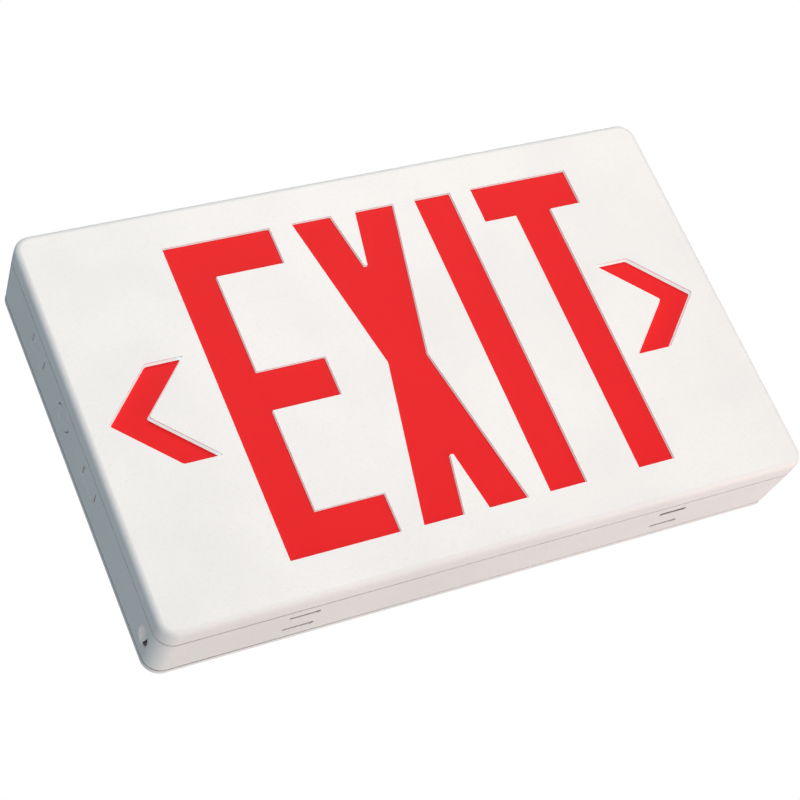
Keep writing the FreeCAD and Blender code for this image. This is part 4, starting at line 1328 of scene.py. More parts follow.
    def slot(self, x: float, y: float, sz: int, wide: bool) -> list[bpy.types.Object]:
        """Cutters of one slot.

        Args:
            x: its middle.
            y: its depth.
            sz: -1 for the bottom wall, 1 for the top.
            wide: whether it is the wide one; the others have a round end.

        Returns:
            The cutters of the slot and of the room behind it.
        """
        half = self.wide_slot_half if wide else self.slot_half
        low, high = span(sz, self.shell.half_h + 1.0, self.shell.half_h - 6.0)
        reach = self.slot_reach
        slot = block("slot", (x - reach, y - half, low), (x + reach, y + half, high))
        cutters = [round_along(slot, Axis.Z, 0.5, 3)]
        if not wide:
            cutters.append(rod("slot_end", (x + 6.1, y, low), Axis.Z, high - low, self.wide_slot_half, 32))
        cutters.append(self.hollow("room", x, sz, y - half - 0.5, y + 3.2, y, reach + 0.5, self.slot_skin))
        return cutters

    def notch(self) -> list[bpy.types.Object]:
        """Cutters of the release notch low on the left wall and of the hole in it."""
        y, z = self.notch_y, self.notch_z
        wall = -(self.shell.half_w - self.shell.pull(y))
        centre = (wall - 0.7, y, z)
        deselect()
        bpy.ops.mesh.primitive_uv_sphere_add(segments=64, ring_count=32, radius=self.notch_radius * MM,
                                             location=[c * MM for c in centre])
        scoop = settle("scoop")
        with Edit(scoop) as edit:
            edit.everything()
            edit.scale(1.0, self.notch_stretch, 1.0, centre)
        hole = block("hole", (wall + 0.9, y - 1.0, z - 5.0), (wall + 9.0, y + 7.4, z - 0.2))
        return [scoop, hole]

    def tongues(self) -> list[bpy.types.Object]:
        """The straight ribs that centre the cover and the back plate."""
        s = self.shell
        made = []
        for y0, y1, pull in ((-36.2, -26.2, 0.0), (-8.8, -2.5, s.taper)):
            half_x, half_z = s.half_w - pull - self.tongue_gap, s.half_h - pull - self.tongue_gap
            long_x, long_z = s.half_w - 12.0, s.half_h - 12.0
            for sign in (-1, 1):
                low, high = span(sign, half_z, half_z - self.tongue)
                made.append(soft_block("tongue", (-long_x, y0, low), (long_x, y1, high), 0.25, 2))
                low, high = span(sign, half_x, half_x - self.tongue)
                made.append(soft_block("tongue", (low, y0, -long_z), (high, y1, long_z), 0.25, 2))
        return made

    def clips(self) -> list[bpy.types.Object]:
        """The C-shaped clips of the light strips."""
        made = []
        y = self.strip_y
        root = self.shell.half_h - self.shell.pull(y) - 1.2
        strip = root - 1.2 - 6.0
        front = [(-7.7, root), (-7.7, strip - 2.9), (-4.6, strip - 2.9), (-4.6, strip - 1.7),
                 (-6.1, strip - 1.7), (-6.1, strip)]
        outline = [(y + a, b) for a, b in front] + [(y - a, b) for a, b in reversed(front)]
        for sz in (-1, 1):
            for i in (-1, 0, 1):
                corners = [(i * self.clip_pitch - self.clip_width / 2, a, sz * b) for a, b in outline]
                made.append(prism("clip", corners, (self.clip_width, 0.0, 0.0)))
        return made

    def build(self) -> bpy.types.Object:
        """Models the ring."""
        s = self.shell
        step = self.seam_step
        ring = self.ring_block("housing_frame_dressed", s.frame_front_y, s.frame_back_y - step, 0.0)
        fuse(ring, [self.ring_block("rear_rim", s.frame_back_y - 1.0, s.frame_back_y, 2 * step)])
        cut(ring, [self.ring_block("inside", s.frame_front_y - 1.0, s.frame_back_y + 1.0, self.wall)])
        control_pad = block("control_pad", (150.9, -25.0, -43.0), (153.2, -10.0, -7.0))
        notch_backing = block("notch_backing", (-153.2, -25.2, -88.2), (-149.6, -10.0, -77.2))
        fuse(ring, [*self.tongues(), *self.clips(), control_pad, notch_backing])
        controls = TestControls()
        bores = [rod("bore", (149.0, controls.y, z), Axis.X, 8.0, radius)
                 for z, radius in ((controls.button_z, 4.5), (controls.pilot_z, 2.6))]
        cut(ring, [*self.knock_outs(Axis.X, -1, self.left_knock_z), *self.knock_outs(Axis.Z, 1, 0.0),
                   *self.slots(), *self.notch(), *bores])
        with Edit(ring) as edit:
            edit.everything()
            bpy.ops.mesh.dissolve_limited(angle_limit=math.radians(0.1))
        return break_edges(ring, self.edge)


@dataclass
class BackPlate:
    """The plate that closes the housing and fits the wall box."""

    shell: Shell
    skirt: float = 3.5
    skirt_wall: float = 2.0
    thickness: float = 2.2
    chamfer: float = 1.0
    edge: float = 0.2
    entry: float = 11.1
    collar: float = 13.5
    score: float = 17.5
    hole_x: float = 44.45
    slot_z: float = 41.65
    slot_half: float = 2.3
    board_x: float = 95.0
    post_x: float = 34.5
    post_z: float = 43.5
    strap_x: float = -106.0
    strap_z: tuple[float, float] = (-21.9, 33.9)

    def build(self) -> bpy.types.Object:
        """Models the plate with its holes, collar, posts and hooks."""
        s = self.shell
        w, h = s.half_w - s.taper, s.half_h - s.taper
        plate = plate_block("back_plate_dressed", (-w, -self.skirt, -h), (w, 0.0, h), s.corner, 12)
        round_rim(plate, 0.0, self.chamfer, 1)
        inner = -self.thickness
        w, h = w - self.skirt_wall, h - self.skirt_wall
        cut(plate, [plate_block("hollow", (-w, -self.skirt - 1.0, -h), (w, inner, h),
                                s.corner - self.skirt_wall, 10)])
        posts = self.posts()
        cut(plate, self.bores())
        break_edges(plate, self.edge)
        posts += s.hooks(inner + 0.2, s.slot_rows[1])
        return join([plate, *[smooth(post) for post in posts]])

    def bores(self) -> list[bpy.types.Object]:
        """Cutters of the wire entry, the fixing holes and slots and the score ring."""
        bores = [rod("entry", (0, -8.0, 0), Axis.Y, 10.0, self.entry, 72)]
        for sign in (-1, 1):
            bores.append(rod("hole", (sign * self.hole_x, -4.0, 0), Axis.Y, 6.0, 2.5))
            half, z = self.slot_half, sign * self.slot_z
            slot = block("slot", (-half, -4.0, z - 4.5), (half, 2.0, z + 4.5))
            bores.append(round_along(slot, Axis.Y, half - 0.01, 10))
        bores.append(tube("score", (0, -0.6, 0), Axis.Y, 2.0, self.score + 0.4, self.score - 0.4, 96))
        return bores

    def posts(self) -> list[bpy.types.Object]:
        """The collar, the board's posts, the strap's pads and the lead's ribs."""
        posts = [tube("collar", (0, -5.2, 0), Axis.Y, 3.2, self.collar, self.entry, 72)]
        for side in (-1, 1):
            place = (self.board_x + side * self.post_x, -9.2, side * self.post_z)
            posts.append(tube("standoff", place, Axis.Y, 7.2, 3.4, 1.3, 40))
        for side in (-1, 1):
            x, z = self.board_x + side * self.post_x, -side * self.post_z
            posts.append(soft_block("rest", (x - 1.7, -9.2, z - 1.7), (x + 1.7, -2.0, z + 1.7), 0.3, 2))
        for z in self.strap_z:
            x = self.strap_x
            pad = block("pad", (x - 3.5, -3.8, z - 3.5), (x + 3.5, -2.0, z + 3.5))
            posts.append(cut(pad, [rod("bite", (x, -4.5, z), Axis.Y, 2.7, 1.3)]))
        for x in (-40.0, 30.0):
            posts.append(soft_block("rib", (x - 1.5, -3.8, -62.0), (x + 1.5, -2.0, -54.0), 0.3, 2))
        return posts


# Inside the sign


@dataclass
class LightStrips:
    """What stands on the two light strips: phosphor in the wells and small resistors between the lights."""

    half_z: float = 84.5
    y: float = -14.0
    count: int = 8
    pitch: float = 30.0
    well_half: float = 1.65
    well_height: float = 1.22
    resistor_shift: float = 5.0
    resistor_height: float = 0.29

    def row(self, count: int, shift: float, z: float) -> list[tuple[float, float]]:
        """Places in a row along a strip."""
        return [((i - (count - 1) / 2) * self.pitch + shift, z) for i in range(count)]

    def phosphors(self, side: int, word: str) -> bpy.types.Object:
        """The yellow fillings of one strip's lights."""
        half = self.well_half
        model = soft_block("phosphor", (-half, self.y - half, -0.3), (half, self.y + half, 0.3), 0.28, 3)
        places = self.row(self.count, 0.0, side * (self.half_z - self.well_height))
        return smooth(join(repeat(model, places), "led_phosphor_" + word))

    def resistors(self, side: int, word: str) -> bpy.types.Object:
        """The chip resistors between one strip's lights."""
        model = soft_block("resistor", (-1.0, self.y - 0.6, -0.3), (1.0, self.y + 0.6, 0.3), 0.06, 2)
        places = self.row(self.count - 1, self.resistor_shift, side * (self.half_z - self.resistor_height))
        return smooth(join(repeat(model, places), "strip_resistors_" + word))


@dataclass
class Capacitor:
    """A sleeved can with a crimped foot and a vented top."""

    x: float
    z: float
    radius: float
    height: float
    foot_y: float = -10.8
    vent_half: float = 0.12

    def build(self, name: str) -> bpy.types.Object:
        """Models the can.

        Args:
            name: the piece's name.

        Returns:
            The can.
        """
        r, h = self.radius, self.height
        profile = [(0.0, 0.0), (r - 0.5, 0.0), (r - 0.12, 0.25), (r, 0.7), (r, 1.5), (r - 0.3, 1.9),
                   (r - 0.3, 2.1), (r, 2.5), (r, h - 0.6), (r - 0.15, h - 0.2), (r - 0.55, h), (r - 0.9, h),
                   (r - 1.0, h - 0.25), (0.0, h - 0.3)]
        can = lathe(name, (self.x, self.foot_y, self.z), Axis.Y, [(a, -b) for a, b in profile], 40)
        top = self.foot_y - h
        reach = r * 0.6
        arms = []
        for half_x, half_z in ((reach, self.vent_half), (self.vent_half, reach)):
            arms.append(block("vent", (self.x - half_x, top - 1.0, self.z - half_z),
                              (self.x + half_x, top + 0.42, self.z + half_z)))
        return smooth(cut(can, arms))


@dataclass
class HexScrew:
    """A hexagon washer-head screw with a slot, along Y."""

    x: float
    z: float
    seat_y: float
    bite: float

    def build(self) -> bpy.types.Object:
        """Models the screw."""
        centre = (self.x, self.seat_y, self.z)
        shank = lathe("shank", centre, Axis.Y, [(0.0, self.bite), (0.7, self.bite), (1.25, self.bite - 1.0),
                                                (1.25, -0.2), (0.0, -0.2)], 24)
        washer = lathe("washer", centre, Axis.Y, [(0.0, 0.0), (2.5, 0.0), (2.55, -0.2), (2.35, -0.45),
                                                  (0.0, -0.45)], 40)
        head = rod("head", (self.x, self.seat_y - 1.68, self.z), Axis.Y, 1.5, 2.2, 6)
        round_edges(head, lambda at, way: at.y < self.seat_y - 1.6, 0.25, 3)
        cut(head, [block("slot", (self.x - 3.0, self.seat_y - 2.5, self.z - 0.3),
                         (self.x + 3.0, self.seat_y - 1.05, self.z + 0.3))])
        return join([smooth(head), washer, shank])


@dataclass
class BatteryPack:
    """Three cells side by side in a shrunk sleeve, with the cells' ends showing."""

    x: float = -106.0
    z: float = 6.0
    y: float = -11.2
    cell: float = 7.15
    radius: float = 7.38
    length: float = 50.4

    def build(self) -> bpy.types.Object:
        """Models the sleeve round the cells."""
        half = self.length / 2
        r = self.radius
        end = [(0.0, half - 0.5), (r - 2.2, half - 0.5), (r - 2.0, half - 0.1), (r - 1.2, half),
               (r - 0.3, half - 0.35), (r, half - 1.2)]
        profile = [(a, -b) for a, b in end] + end[::-1]
        model = lathe("cell", (self.x, self.y, self.z), Axis.X, profile, 56)
        made = repeat(model, [(0.0, i * 2 * self.cell) for i in (-1, 0, 1)])
        for i in (-1, 1):
            web = soft_block("web", (self.x - half + 1.5, self.y - r + 1.0, self.z + i * self.cell - 3.4),
                             (self.x + half - 1.5, self.y + r - 1.0, self.z + i * self.cell + 3.4), 0.8, 4)
            made.append(smooth(web))
        return join(made, "battery_pack_dressed")

    def caps(self) -> bpy.types.Object:
        """The steel ends of the cells inside the sleeve's rims."""
        half = self.length / 2 - 0.5
        profile = [(0.0, 0.32), (1.9, 0.32), (2.2, 0.05), (4.9, 0.02), (4.9, -0.3), (0.0, -0.3)]
        made = []
        for i in (-1, 0, 1):
            for side in (-1, 1):
                centre = (self.x + side * half, self.y, self.z + i * 2 * self.cell)
                made.append(lathe("cap", centre, Axis.X, [(a, side * b) for a, b in profile], 32))
        return join(made, "cell_ends")


@dataclass
class Leads:
    """Twin round wires along the routes of the flat leads."""

    wire: float = 0.62

    def wires(self, name: str, route: Sequence[Point]) -> bpy.types.Object:
        """One wire as a smooth curve, made a mesh.

        Args:
            name: the piece's name.
            route: its corners, in millimetres.

        Returns:
            The wire.
        """
        deselect()
        bpy.ops.curve.primitive_nurbs_path_add(location=(0.0, 0.0, 0.0))
        path = bpy.context.object
        spline = path.data.splines[0]
        if len(route) > len(spline.points):
            spline.points.add(len(route) - len(spline.points))
        for point, place in zip(spline.points, route):
            point.co = (*[c * MM for c in place], 1.0)
        spline.order_u = 3
        spline.use_endpoint_u = True
        path.data.bevel_depth = self.wire * MM
        path.data.bevel_resolution = 4
        path.data.resolution_u = 10
        path.data.use_fill_caps = True
        take(path)
        bpy.ops.object.convert(target="MESH")
        return smooth(settle(name), 60.0)

    def battery_route(self, offset: float) -> list[Point]:
        """The pack's lead: out of the cradle, down, along the plate's ribs and up to the board's plug.

        Args:
            offset: how far the wire lies beside the lead's middle, in millimetres.

        Returns:
            The route's corners.
        """
        y = -4.42
        out_z, down_x, along_z, up_x = -2.0 + offset, -68.75 + offset, -58.0 + offset, 71.0 - offset
        return [(-80.9, y, out_z), (-76.0, y, out_z), (-71.0 + offset, y, out_z), (down_x, y, -4.5 + offset),
                (down_x, y, -10.0), (down_x, y, -50.0), (down_x, y, -55.0 + offset), (-66.0, y, along_z),
                (-60.0, y, along_z), (62.0, y, along_z), (68.0, y, along_z), (up_x, y, -55.0 + offset),
                (up_x, y, -50.0), (up_x, y, -36.8)]

    def strip_route(self, side: int, offset: float) -> list[Point]:
        """A strip's lead: straight from the board's plug to the strip's plug."""
        return [(119.0 + offset, -12.65, side * z) for z in (44.2, 54.0, 62.0, 70.0, 80.0)]

    def strip_plugs(self, side: int, word: str) -> bpy.types.Object:
        """The plugs at both ends of a strip's lead.

        Args:
            side: -1 for the bottom strip, 1 for the top.
            word: the strip's word in the piece's name.

        Returns:
            The plugs, as one piece.
        """
        plugs = []
        for z, y0, y1 in ((44.0, -14.8, -10.8), (82.0, -14.65, -10.65)):
            low, high = span(side, z - 2.5, z + 2.5)
            plugs.append(smooth(soft_block("plug", (116.0, y0, low), (122.0, y1, high), 0.3, 3)))
        return join(plugs, "strip_plugs_" + word)

    def battery_plug(self) -> bpy.types.Object:
        """The plug of the pack's lead."""
        return smooth(soft_block("battery_plug", (68.0, -9.2, -36.5), (74.0, -3.8, -31.5), 0.3, 3))


@dataclass
class TestControls:
    """The red test button and the green pilot light in the right wall."""

    y: float = -17.5
    button_z: float = -34.0
    pilot_z: float = -16.0
    face_x: float = 154.2
    button_x: tuple[float, float, float] = (145.2, 149.7, 150.9)
    pilot_x: tuple[float, float] = (149.8, 151.0)
    leg_spread: float = 1.25

    def button(self) -> bpy.types.Object:
        """A dished plunger with a collar."""
        x0, x1, x2 = (x - self.face_x for x in self.button_x)
        profile = [(0.0, x0), (3.9, x0), (4.2, x0 + 0.3), (4.2, x1), (5.1, x1), (5.2, x1 + 0.1),
                   (5.2, x2 - 0.1), (5.1, x2), (4.2, x2), (4.2, -0.6), (4.05, -0.22), (3.7, -0.03),
                   (3.3, 0.0), (3.0, -0.08), (1.6, -0.3), (0.0, -0.36)]
        return lathe("test_button_dressed", (self.face_x, self.y, self.button_z), Axis.X, profile, 64)

    def pilot(self) -> bpy.types.Object:
        """The domed indicator with its flange."""
        x0, x1 = (x - self.face_x for x in self.pilot_x)
        profile = [(0.0, x0), (3.1, x0), (3.2, x0 + 0.1), (3.2, x1 - 0.1), (3.1, x1), (2.5, x1), (2.5, -1.9),
                   (2.42, -1.4), (2.2, -0.9), (1.8, -0.45), (1.2, -0.15), (0.6, -0.03), (0.0, 0.0)]
        return lathe("pilot_lens", (self.face_x, self.y, self.pilot_z), Axis.X, profile, 48)

    def pilot_legs(self) -> bpy.types.Object:
        """The two wire legs that come back over the board and turn down onto it."""
        low, high = self.y - 0.3, self.y + 0.3
        outline = [(150.0, low), (150.0, high), (130.6, high), (130.6, -10.8), (130.0, -10.8), (130.0, low)]
        legs = []
        for side in (-1, 1):
            z = self.pilot_z + side * self.leg_spread
            leg = prism("leg", [(a, b, z - 0.3) for a, b in outline], (0.0, 0.0, 0.6))
            legs.append(break_edges(leg, 0.08))
        return join(legs, "pilot_legs")


@dataclass
class TerminalScrews:
    """The clamping screws in the wells of the supply terminals."""

    x: float = 62.0
    z: float = -20.0
    pitch: float = 22.0 / 3
    top_y: float = -20.8

    def build(self) -> bpy.types.Object:
        """Models three slotted heads."""
        profile = [(0.0, 0.0), (1.7, 0.0), (1.8, -0.15), (1.75, -0.9), (1.5, -1.15), (0.0, -1.2)]
        made = []
        for i in (-1, 0, 1):
            x, y, z = self.x, self.top_y, self.z + i * self.pitch
            head = lathe("clamp", (x, y + 2.5, z), Axis.Y, profile, 32)
            slot = block("slot", (x - 3.0, y + 0.5, z - 0.25), (x + 3.0, y + 1.85, z + 0.25))
            made.append(smooth(cut(head, [slot])))
        return join(made, "terminal_screws")


@dataclass
class ChipPins:
    """The bent legs of the control chip and of the rectifier."""

    chip: Point = (117.0, -10.8, -16.0)
    rectifier: Point = (111.0, -10.8, -33.0)
    width: float = 0.4

    def row(self, centre: Point, half_w: float, count: int, pitch: float,
            rise: float) -> list[bpy.types.Object]:
        """Legs along both long sides of a part.

        Args:
            centre: the part's middle on the board.
            half_w: half the part's width.
            count: how many legs a side has.
            pitch: how far apart they stand.
            rise: how high above the board they leave the part.

        Returns:
            The legs.
        """
        a = half_w - 0.1
        outline = [(a, -rise), (a + 0.55, -rise), (a + 0.75, -rise + 0.2), (a + 0.75, -0.28),
                   (a + 1.3, -0.28), (a + 1.3, 0.0), (a + 0.5, 0.0), (a + 0.5, -rise + 0.25),
                   (a, -rise + 0.25)]
        made = []
        for side in (-1, 1):
            for i in range(count):
                z = centre[2] + (i - (count - 1) / 2) * pitch - self.width / 2
                corners = [(centre[0] + side * u, centre[1] + v, z) for u, v in outline]
                made.append(prism("pin", corners, (0.0, 0.0, self.width)))
        return made

    def build(self) -> bpy.types.Object:
        """Models all the legs."""
        made = self.row(self.chip, 3.25, 7, 1.3, 1.6) + self.row(self.rectifier, 4.25, 2, 4.2, 2.4)
        return smooth(join(made, "chip_pins"))


# Studio


@dataclass(frozen=True)
class Softbox:
    """A soft area light."""

    name: str
    place: Point
    aim: Point
    size: float
    watts: float
    colour: Colour = (1.0, 1.0, 1.0)

    def add(self) -> None:
        """Adds the light, aimed at a point in metres."""
        deselect()
        bpy.ops.object.light_add(type="AREA", location=self.place)
        lamp = bpy.context.object
        lamp.name = self.name
        lamp.data.shape = "SQUARE"
        lamp.data.size = self.size
        lamp.data.energy = self.watts
        lamp.data.color = self.colour
        lamp.visible_camera = False
        way = Vector(self.aim) - Vector(self.place)
        lamp.rotation_euler = way.to_track_quat("-Z", "Y").to_euler()


@dataclass
class Studio:
    """The camera, the lights and the floor."""

    eye: Point = (-0.40956, -0.80604, -0.35931)
    right: Point = (0.881154, -0.281093, -0.380203)
    forward: Point = (0.423017, 0.827899, 0.368292)
    lens: float = 97.603
    floor_z: float = -0.75
    ambient: Colour = (0.49, 0.81, 1.0)
    ambient_strength: float = 0.242
    bounce: Colour = (1.0, 0.80, 0.74)
    bounce_strength: float = 0.24

    def build(self) -> None:
        """Sets up everything."""
        self.camera()
        self.lights()
        self.floor()
        self.world()

    def camera(self) -> None:
        """The camera at the photograph's viewing angle."""
        deselect()
        bpy.ops.object.camera_add(location=self.eye)
        camera = bpy.context.object
        back = -Vector(self.forward).normalized()
        up = back.cross(Vector(self.right)).normalized()
        turn = Matrix((up.cross(back), up, back)).transposed()
        camera.rotation_euler = turn.to_euler()
        camera.data.lens = self.lens
        camera.data.sensor_width = 36.0
        camera.data.clip_start = 0.01
        bpy.context.scene.camera = camera

    def lights(self) -> None:
        """Soft light from the front right, from below and, weaker, from the left and behind."""
        Softbox("key", (0.80, -1.98, 1.10), (0.0, 0.0, 0.0), 1.6, 38.7, (1.0, 0.921, 0.853)).add()
        Softbox("low", (0.50, -0.20, -0.62), (0.05, -0.02, 0.0), 0.5, 1.6, (1.0, 0.62, 0.52)).add()
        Softbox("back", (0.7, 1.6, 0.8), (0.0, 0.0, 0.0), 1.0, 24.0, (1.0, 0.96, 0.92)).add()
        Softbox("side", (-0.75, -1.6, -0.1), (0.0, 0.0, 0.0), 0.7, 4.0, (0.94, 0.95, 1.0)).add()

    def floor(self) -> None:
        """A plain pale floor, well below the sign."""
        deselect()
        bpy.ops.mesh.primitive_plane_add(size=8.0, location=(0.0, 0.0, self.floor_z))
        floor = settle("floor")
        graph = Graph("pale_floor")
        floor.data.materials.append(graph.dress(Base_Color=(0.80, 0.80, 0.80), Roughness=0.9,
                                                Emission_Color=self.bounce,
                                                Emission_Strength=self.bounce_strength))

    def world(self) -> None:
        """A white backdrop for the camera and a dimmer, cooler light for the object."""
        world = bpy.data.worlds.new("studio")
        bpy.context.scene.world = world
        tree = NodeTree(world)
        seen = tree.node("ShaderNodeBackground", values={"Color": (1.0, 1.0, 1.0)})
        lit = tree.node("ShaderNodeBackground", values={"Color": self.ambient,
                                                        "Strength": self.ambient_strength})
        camera_ray = tree.node("ShaderNodeLightPath").outputs["Is Camera Ray"]
        mix = tree.node("ShaderNodeMixShader", values={0: camera_ray, 1: lit.outputs[0], 2: seen.outputs[0]})
        tree.node("ShaderNodeOutputWorld", values={"Surface": mix.outputs[0]})
        bpy.context.scene.view_settings.view_transform = "Standard"
        bpy.context.scene.view_settings.look = "None"


# The whole sign


def finish_piece(piece: bpy.types.Object, material: bpy.types.Material, body: str,
                 nodes: Iterable[str] = ()) -> None:
    """Dresses a new piece and says where it belongs.

    Args:
        piece: the piece.
        material: its material.
        body: the body that it rides on.
        nodes: the solids that it stands for.
    """
    piece.data.materials.clear()
    piece.data.materials.append(material)
    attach(piece, body)
    if nodes:
        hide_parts(*nodes)
    log.info("%s: %d faces on %s", piece.name, len(piece.data.polygons), body)


def dress_nodes(nodes: dict[str, bpy.types.Object], names: Iterable[str],
                material: bpy.types.Material) -> None:
    """Gives solids that keep their shape a better material.

    Args:
        nodes: all the solids by name.
        names: those to be dressed.
        material: what they get.
    """
    for name in names:
        for place in nodes[name].material_slots:
            place.material = material
        log.info("%s: dressed with %s", name, material.name)


def dress_boards(nodes: dict[str, bpy.types.Object]) -> None:
    """Dresses the boards and their lights, and builds what stands on the light strips.

    Args:
        nodes: all the solids by name.
    """
    outlines = ((75.0, -41.5, 14.0, 7.0), (56.6, -31.4, 10.8, 22.8), (84.0, -30.0, 16.0, 20.0),
                (64.4, 8.0, 33.2, 28.0), (112.8, -21.8, 8.4, 11.6), (100.9, 0.0, 8.2, 8.2))
    board = CircuitBoard("board_green", (0.012, 0.12, 0.045), (0.03, 0.20, 0.075), 3.2, outlines).material()
    strip = CircuitBoard("board_white", (0.80, 0.80, 0.78), (0.70, 0.70, 0.69), 2.6).material()
    dress_nodes(nodes, ["charger_board"], board)
    dress_nodes(nodes, ["light_strip_top", "light_strip_bottom"], strip)
    leds = [name for name in nodes if name.startswith("led_")]
    led = MouldedPlastic("led_body", (0.82, 0.80, 0.74), (0.78, 0.76, 0.70), 0.35).material()
    dress_nodes(nodes, leds, led)
    phosphor = Glow("phosphor", (0.86, 0.72, 0.12), 0.12).material()
    epoxy = MouldedPlastic("chip_black", (0.022, 0.022, 0.024), (0.03, 0.03, 0.032), 0.5, 0.3, 0.02)
    black = epoxy.material()
    strips = LightStrips()
    for side, word in STRIPS:
        finish_piece(strips.phosphors(side, word), phosphor, "housing")
        finish_piece(strips.resistors(side, word), black, "housing")


def dress_power(steel: bpy.types.Material) -> None:
    """Builds the battery pack, the capacitors and the screws.

    Args:
        steel: the material of screws and cell ends.
    """
    cells = BatteryPack()
    sleeve = ShrinkFilm("battery_sleeve", (0.02, 0.15, 0.36), (0.015, 0.11, 0.30)).material()
    finish_piece(cells.build(), sleeve, "housing", ["battery_pack"])
    finish_piece(cells.caps(), steel, "housing")
    can = ShrinkFilm("capacitor_sleeve", (0.015, 0.018, 0.05), (0.02, 0.025, 0.07)).material()
    for name, maker in (("main_capacitor", Capacitor(67.0, -38.0, 5.0, 13.0)),
                        ("filter_capacitor", Capacitor(105.0, 4.0, 4.0, 10.0))):
        finish_piece(maker.build(name + "_dressed"), can, "housing", [name])
    plate = BackPlate(Shell())
    board_y, strap_y = -10.8, -4.6
    screws = {
        "board_screws": [HexScrew(plate.board_x + side * plate.post_x, side * plate.post_z, board_y, 5.5)
                         for side in (-1, 1)],
        "strap_screws": [HexScrew(plate.strap_x, z, strap_y, 2.7) for z in plate.strap_z],
    }
    for name, pair in screws.items():
        piece = join([screw.build() for screw in pair], name + "_dressed")
        finish_piece(piece, steel, "housing", [name])


def dress_components(nodes: dict[str, bpy.types.Object]) -> None:
    """Softens and dresses the components whose solids already have their shape.

    Args:
        nodes: all the solids by name.
    """
    looks = (
        ("battery_cradle", 0.3, "cradle",
         MouldedPlastic("cradle", (0.07, 0.07, 0.075), (0.09, 0.09, 0.09), 0.5)),
        ("battery_strap", 0.12, "steel",
         Metal("strap_steel", (0.70, 0.70, 0.68), 0.3, (0.15, 1.0, 1.0))),
        ("transformer_core", 0.15, "core_steel",
         Layered("laminations", (0.30, 0.29, 0.28), (0.26, 0.23, 0.21), 0.5, Axis.Y, 0.85, 0.42)),
        ("transformer_coil", 0.3, "coil_tape",
         Layered("coil_tape", (0.80, 0.55, 0.06), (0.72, 0.46, 0.05), 1.1, Axis.Z, 0.0, 0.22)),
        ("film_capacitor", 0.3, "film_case",
         MouldedPlastic("film_case", (0.72, 0.12, 0.02), (0.66, 0.10, 0.02), 0.35)),
        ("relay", 0.25, "relay_case",
         MouldedPlastic("relay_case", (0.02, 0.07, 0.26), (0.02, 0.06, 0.22), 0.35)),
        ("fuse", 0.4, "chip_black",
         MouldedPlastic("fuse_case", (0.03, 0.03, 0.033), (0.04, 0.04, 0.042), 0.4)),
        ("control_chip", 0.12, "chip_black",
         MouldedPlastic("chip_case", (0.02, 0.02, 0.022), (0.028, 0.028, 0.03), 0.55)),
        ("rectifier", 0.2, "chip_black",
         MouldedPlastic("rectifier_case", (0.02, 0.02, 0.022), (0.03, 0.03, 0.03), 0.5)),
        ("terminal_block", 0.2, "terminal_green",
         MouldedPlastic("terminal_green", (0.02, 0.25, 0.07), (0.02, 0.21, 0.06))),
        ("heat_sink", 0.15, "heat_sink",
         Metal("heat_sink", (0.10, 0.10, 0.105), 0.45, (1.0, 0.1, 1.0))),
        ("regulator", 0.15, "chip_black",
         TabbedChip("tabbed_chip", 115.6)),
        ("test_switch", 0.2, "switch_black",
         MouldedPlastic("switch_black", (0.03, 0.03, 0.032), (0.04, 0.04, 0.04), 0.45)),
    )
    for name, width, slot, finish in looks:
        finish_piece(softened(nodes[name], width), finish.material(), "housing", [name])


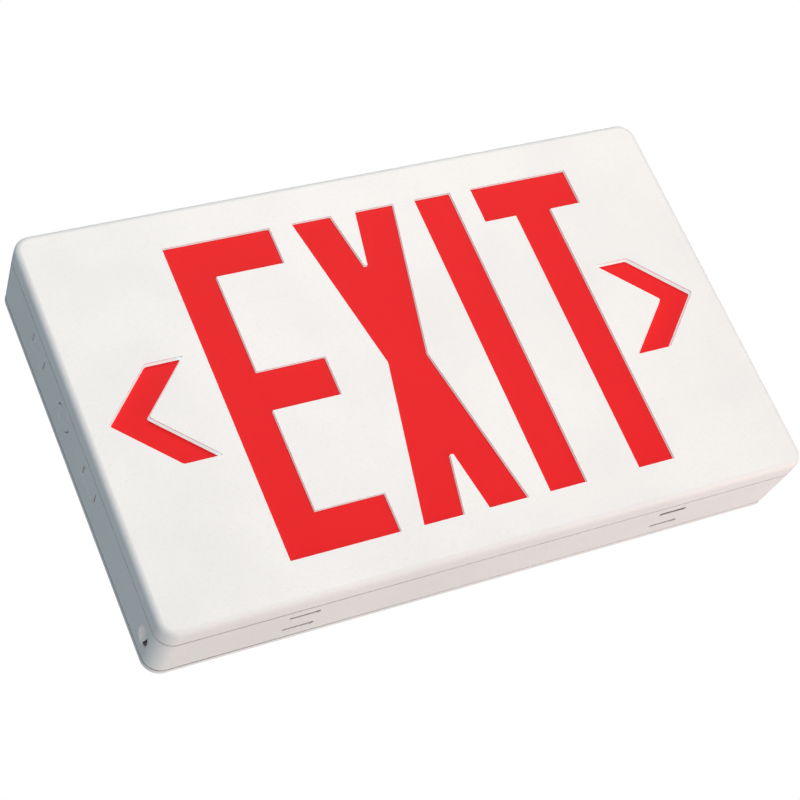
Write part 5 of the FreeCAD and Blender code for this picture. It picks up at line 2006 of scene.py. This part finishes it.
def dress_leads() -> None:
    """Builds the twin wires and their plugs."""
    leads = Leads()
    red = MouldedPlastic("lead_red", (0.55, 0.02, 0.02), (0.48, 0.02, 0.02), 0.4).material()
    dark = MouldedPlastic("lead_dark", (0.02, 0.02, 0.022), (0.03, 0.03, 0.03), 0.4).material()
    shell = MouldedPlastic("plug_white", (0.78, 0.77, 0.72), (0.74, 0.73, 0.68), 0.4).material()
    wires = ((-0.7, red, "live"), (0.7, dark, "return"))
    for side, word in STRIPS:
        for offset, colour, name in wires:
            wire = leads.wires("strip_wire_%s_%s" % (word, name), leads.strip_route(side, offset))
            stands_for = ["strip_lead_" + word] if name == "live" else ()
            finish_piece(wire, colour, "housing", stands_for)
        finish_piece(leads.strip_plugs(side, word), shell, "housing")
    for offset, colour, name in wires:
        wire = leads.wires("battery_wire_" + name, leads.battery_route(offset))
        finish_piece(wire, colour, "housing", ["battery_lead"] if name == "live" else ())
    finish_piece(leads.battery_plug(), shell, "housing")


def dress_controls(steel: bpy.types.Material) -> None:
    """Builds the button and the pilot light.

    Args:
        steel: the material of the pilot light's legs.
    """
    controls = TestControls()
    gloss = MouldedPlastic("button_red", (0.62, 0.02, 0.02), (0.55, 0.015, 0.015), 0.3, 0.3, 0.006)
    finish_piece(controls.button(), gloss.material(), "button", ["test_button"])
    lens = Glow("pilot_green", (0.03, 0.55, 0.10), 0.25, 0.12).material()
    finish_piece(controls.pilot(), lens, "housing", ["pilot_light"])
    finish_piece(controls.pilot_legs(), steel, "housing")


def dress_shell() -> None:
    """Builds the four mouldings of the shell."""
    shell = Shell()
    legend = Legend()
    # light and shade are the two random cloud tones of the shell's colour, not lighting; both shell materials
    # get painted shadow in their seam grooves, and the face gets a painted glow on the walls of its openings.
    light, shade = (0.84, 0.83, 0.81), (0.80, 0.79, 0.775)
    white = MouldedPlastic("white_shell", light, shade, painted_seam_shadow=0.6).material()
    red = RedDiffuser().material()
    face = MouldedPlastic("white_face", light, shade, painted_wall_glow=0.36, painted_seam_shadow=0.6).material()
    finish_piece(FaceCover(shell, legend).build(), face, "cover", ["face_cover"])
    finish_piece(LegendLens(shell, legend).build(), red, "cover", ["legend_lens"])
    finish_piece(HousingFrame(shell).build(), white, "housing", ["housing_frame"])
    finish_piece(BackPlate(shell).build(), white, "housing", ["back_plate"])


def main() -> None:
    """Builds and dresses the sign, then the studio."""
    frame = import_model()
    nodes = frame["nodes"]
    dress_shell()
    steel = Metal("steel", (0.72, 0.72, 0.70)).material()
    dress_boards(nodes)
    dress_power(steel)
    dress_components(nodes)
    finish_piece(TerminalScrews().build(), steel, "housing")
    finish_piece(ChipPins().build(), steel, "housing")
    dress_nodes(nodes, ["button_spring"], Metal("spring_steel", (0.62, 0.62, 0.60), 0.25).material())
    dress_leads()
    dress_controls(steel)
    Studio().build()


if __name__ == "__main__":
    logging.basicConfig(level=logging.INFO, format="%(name)s: %(message)s")
    main()
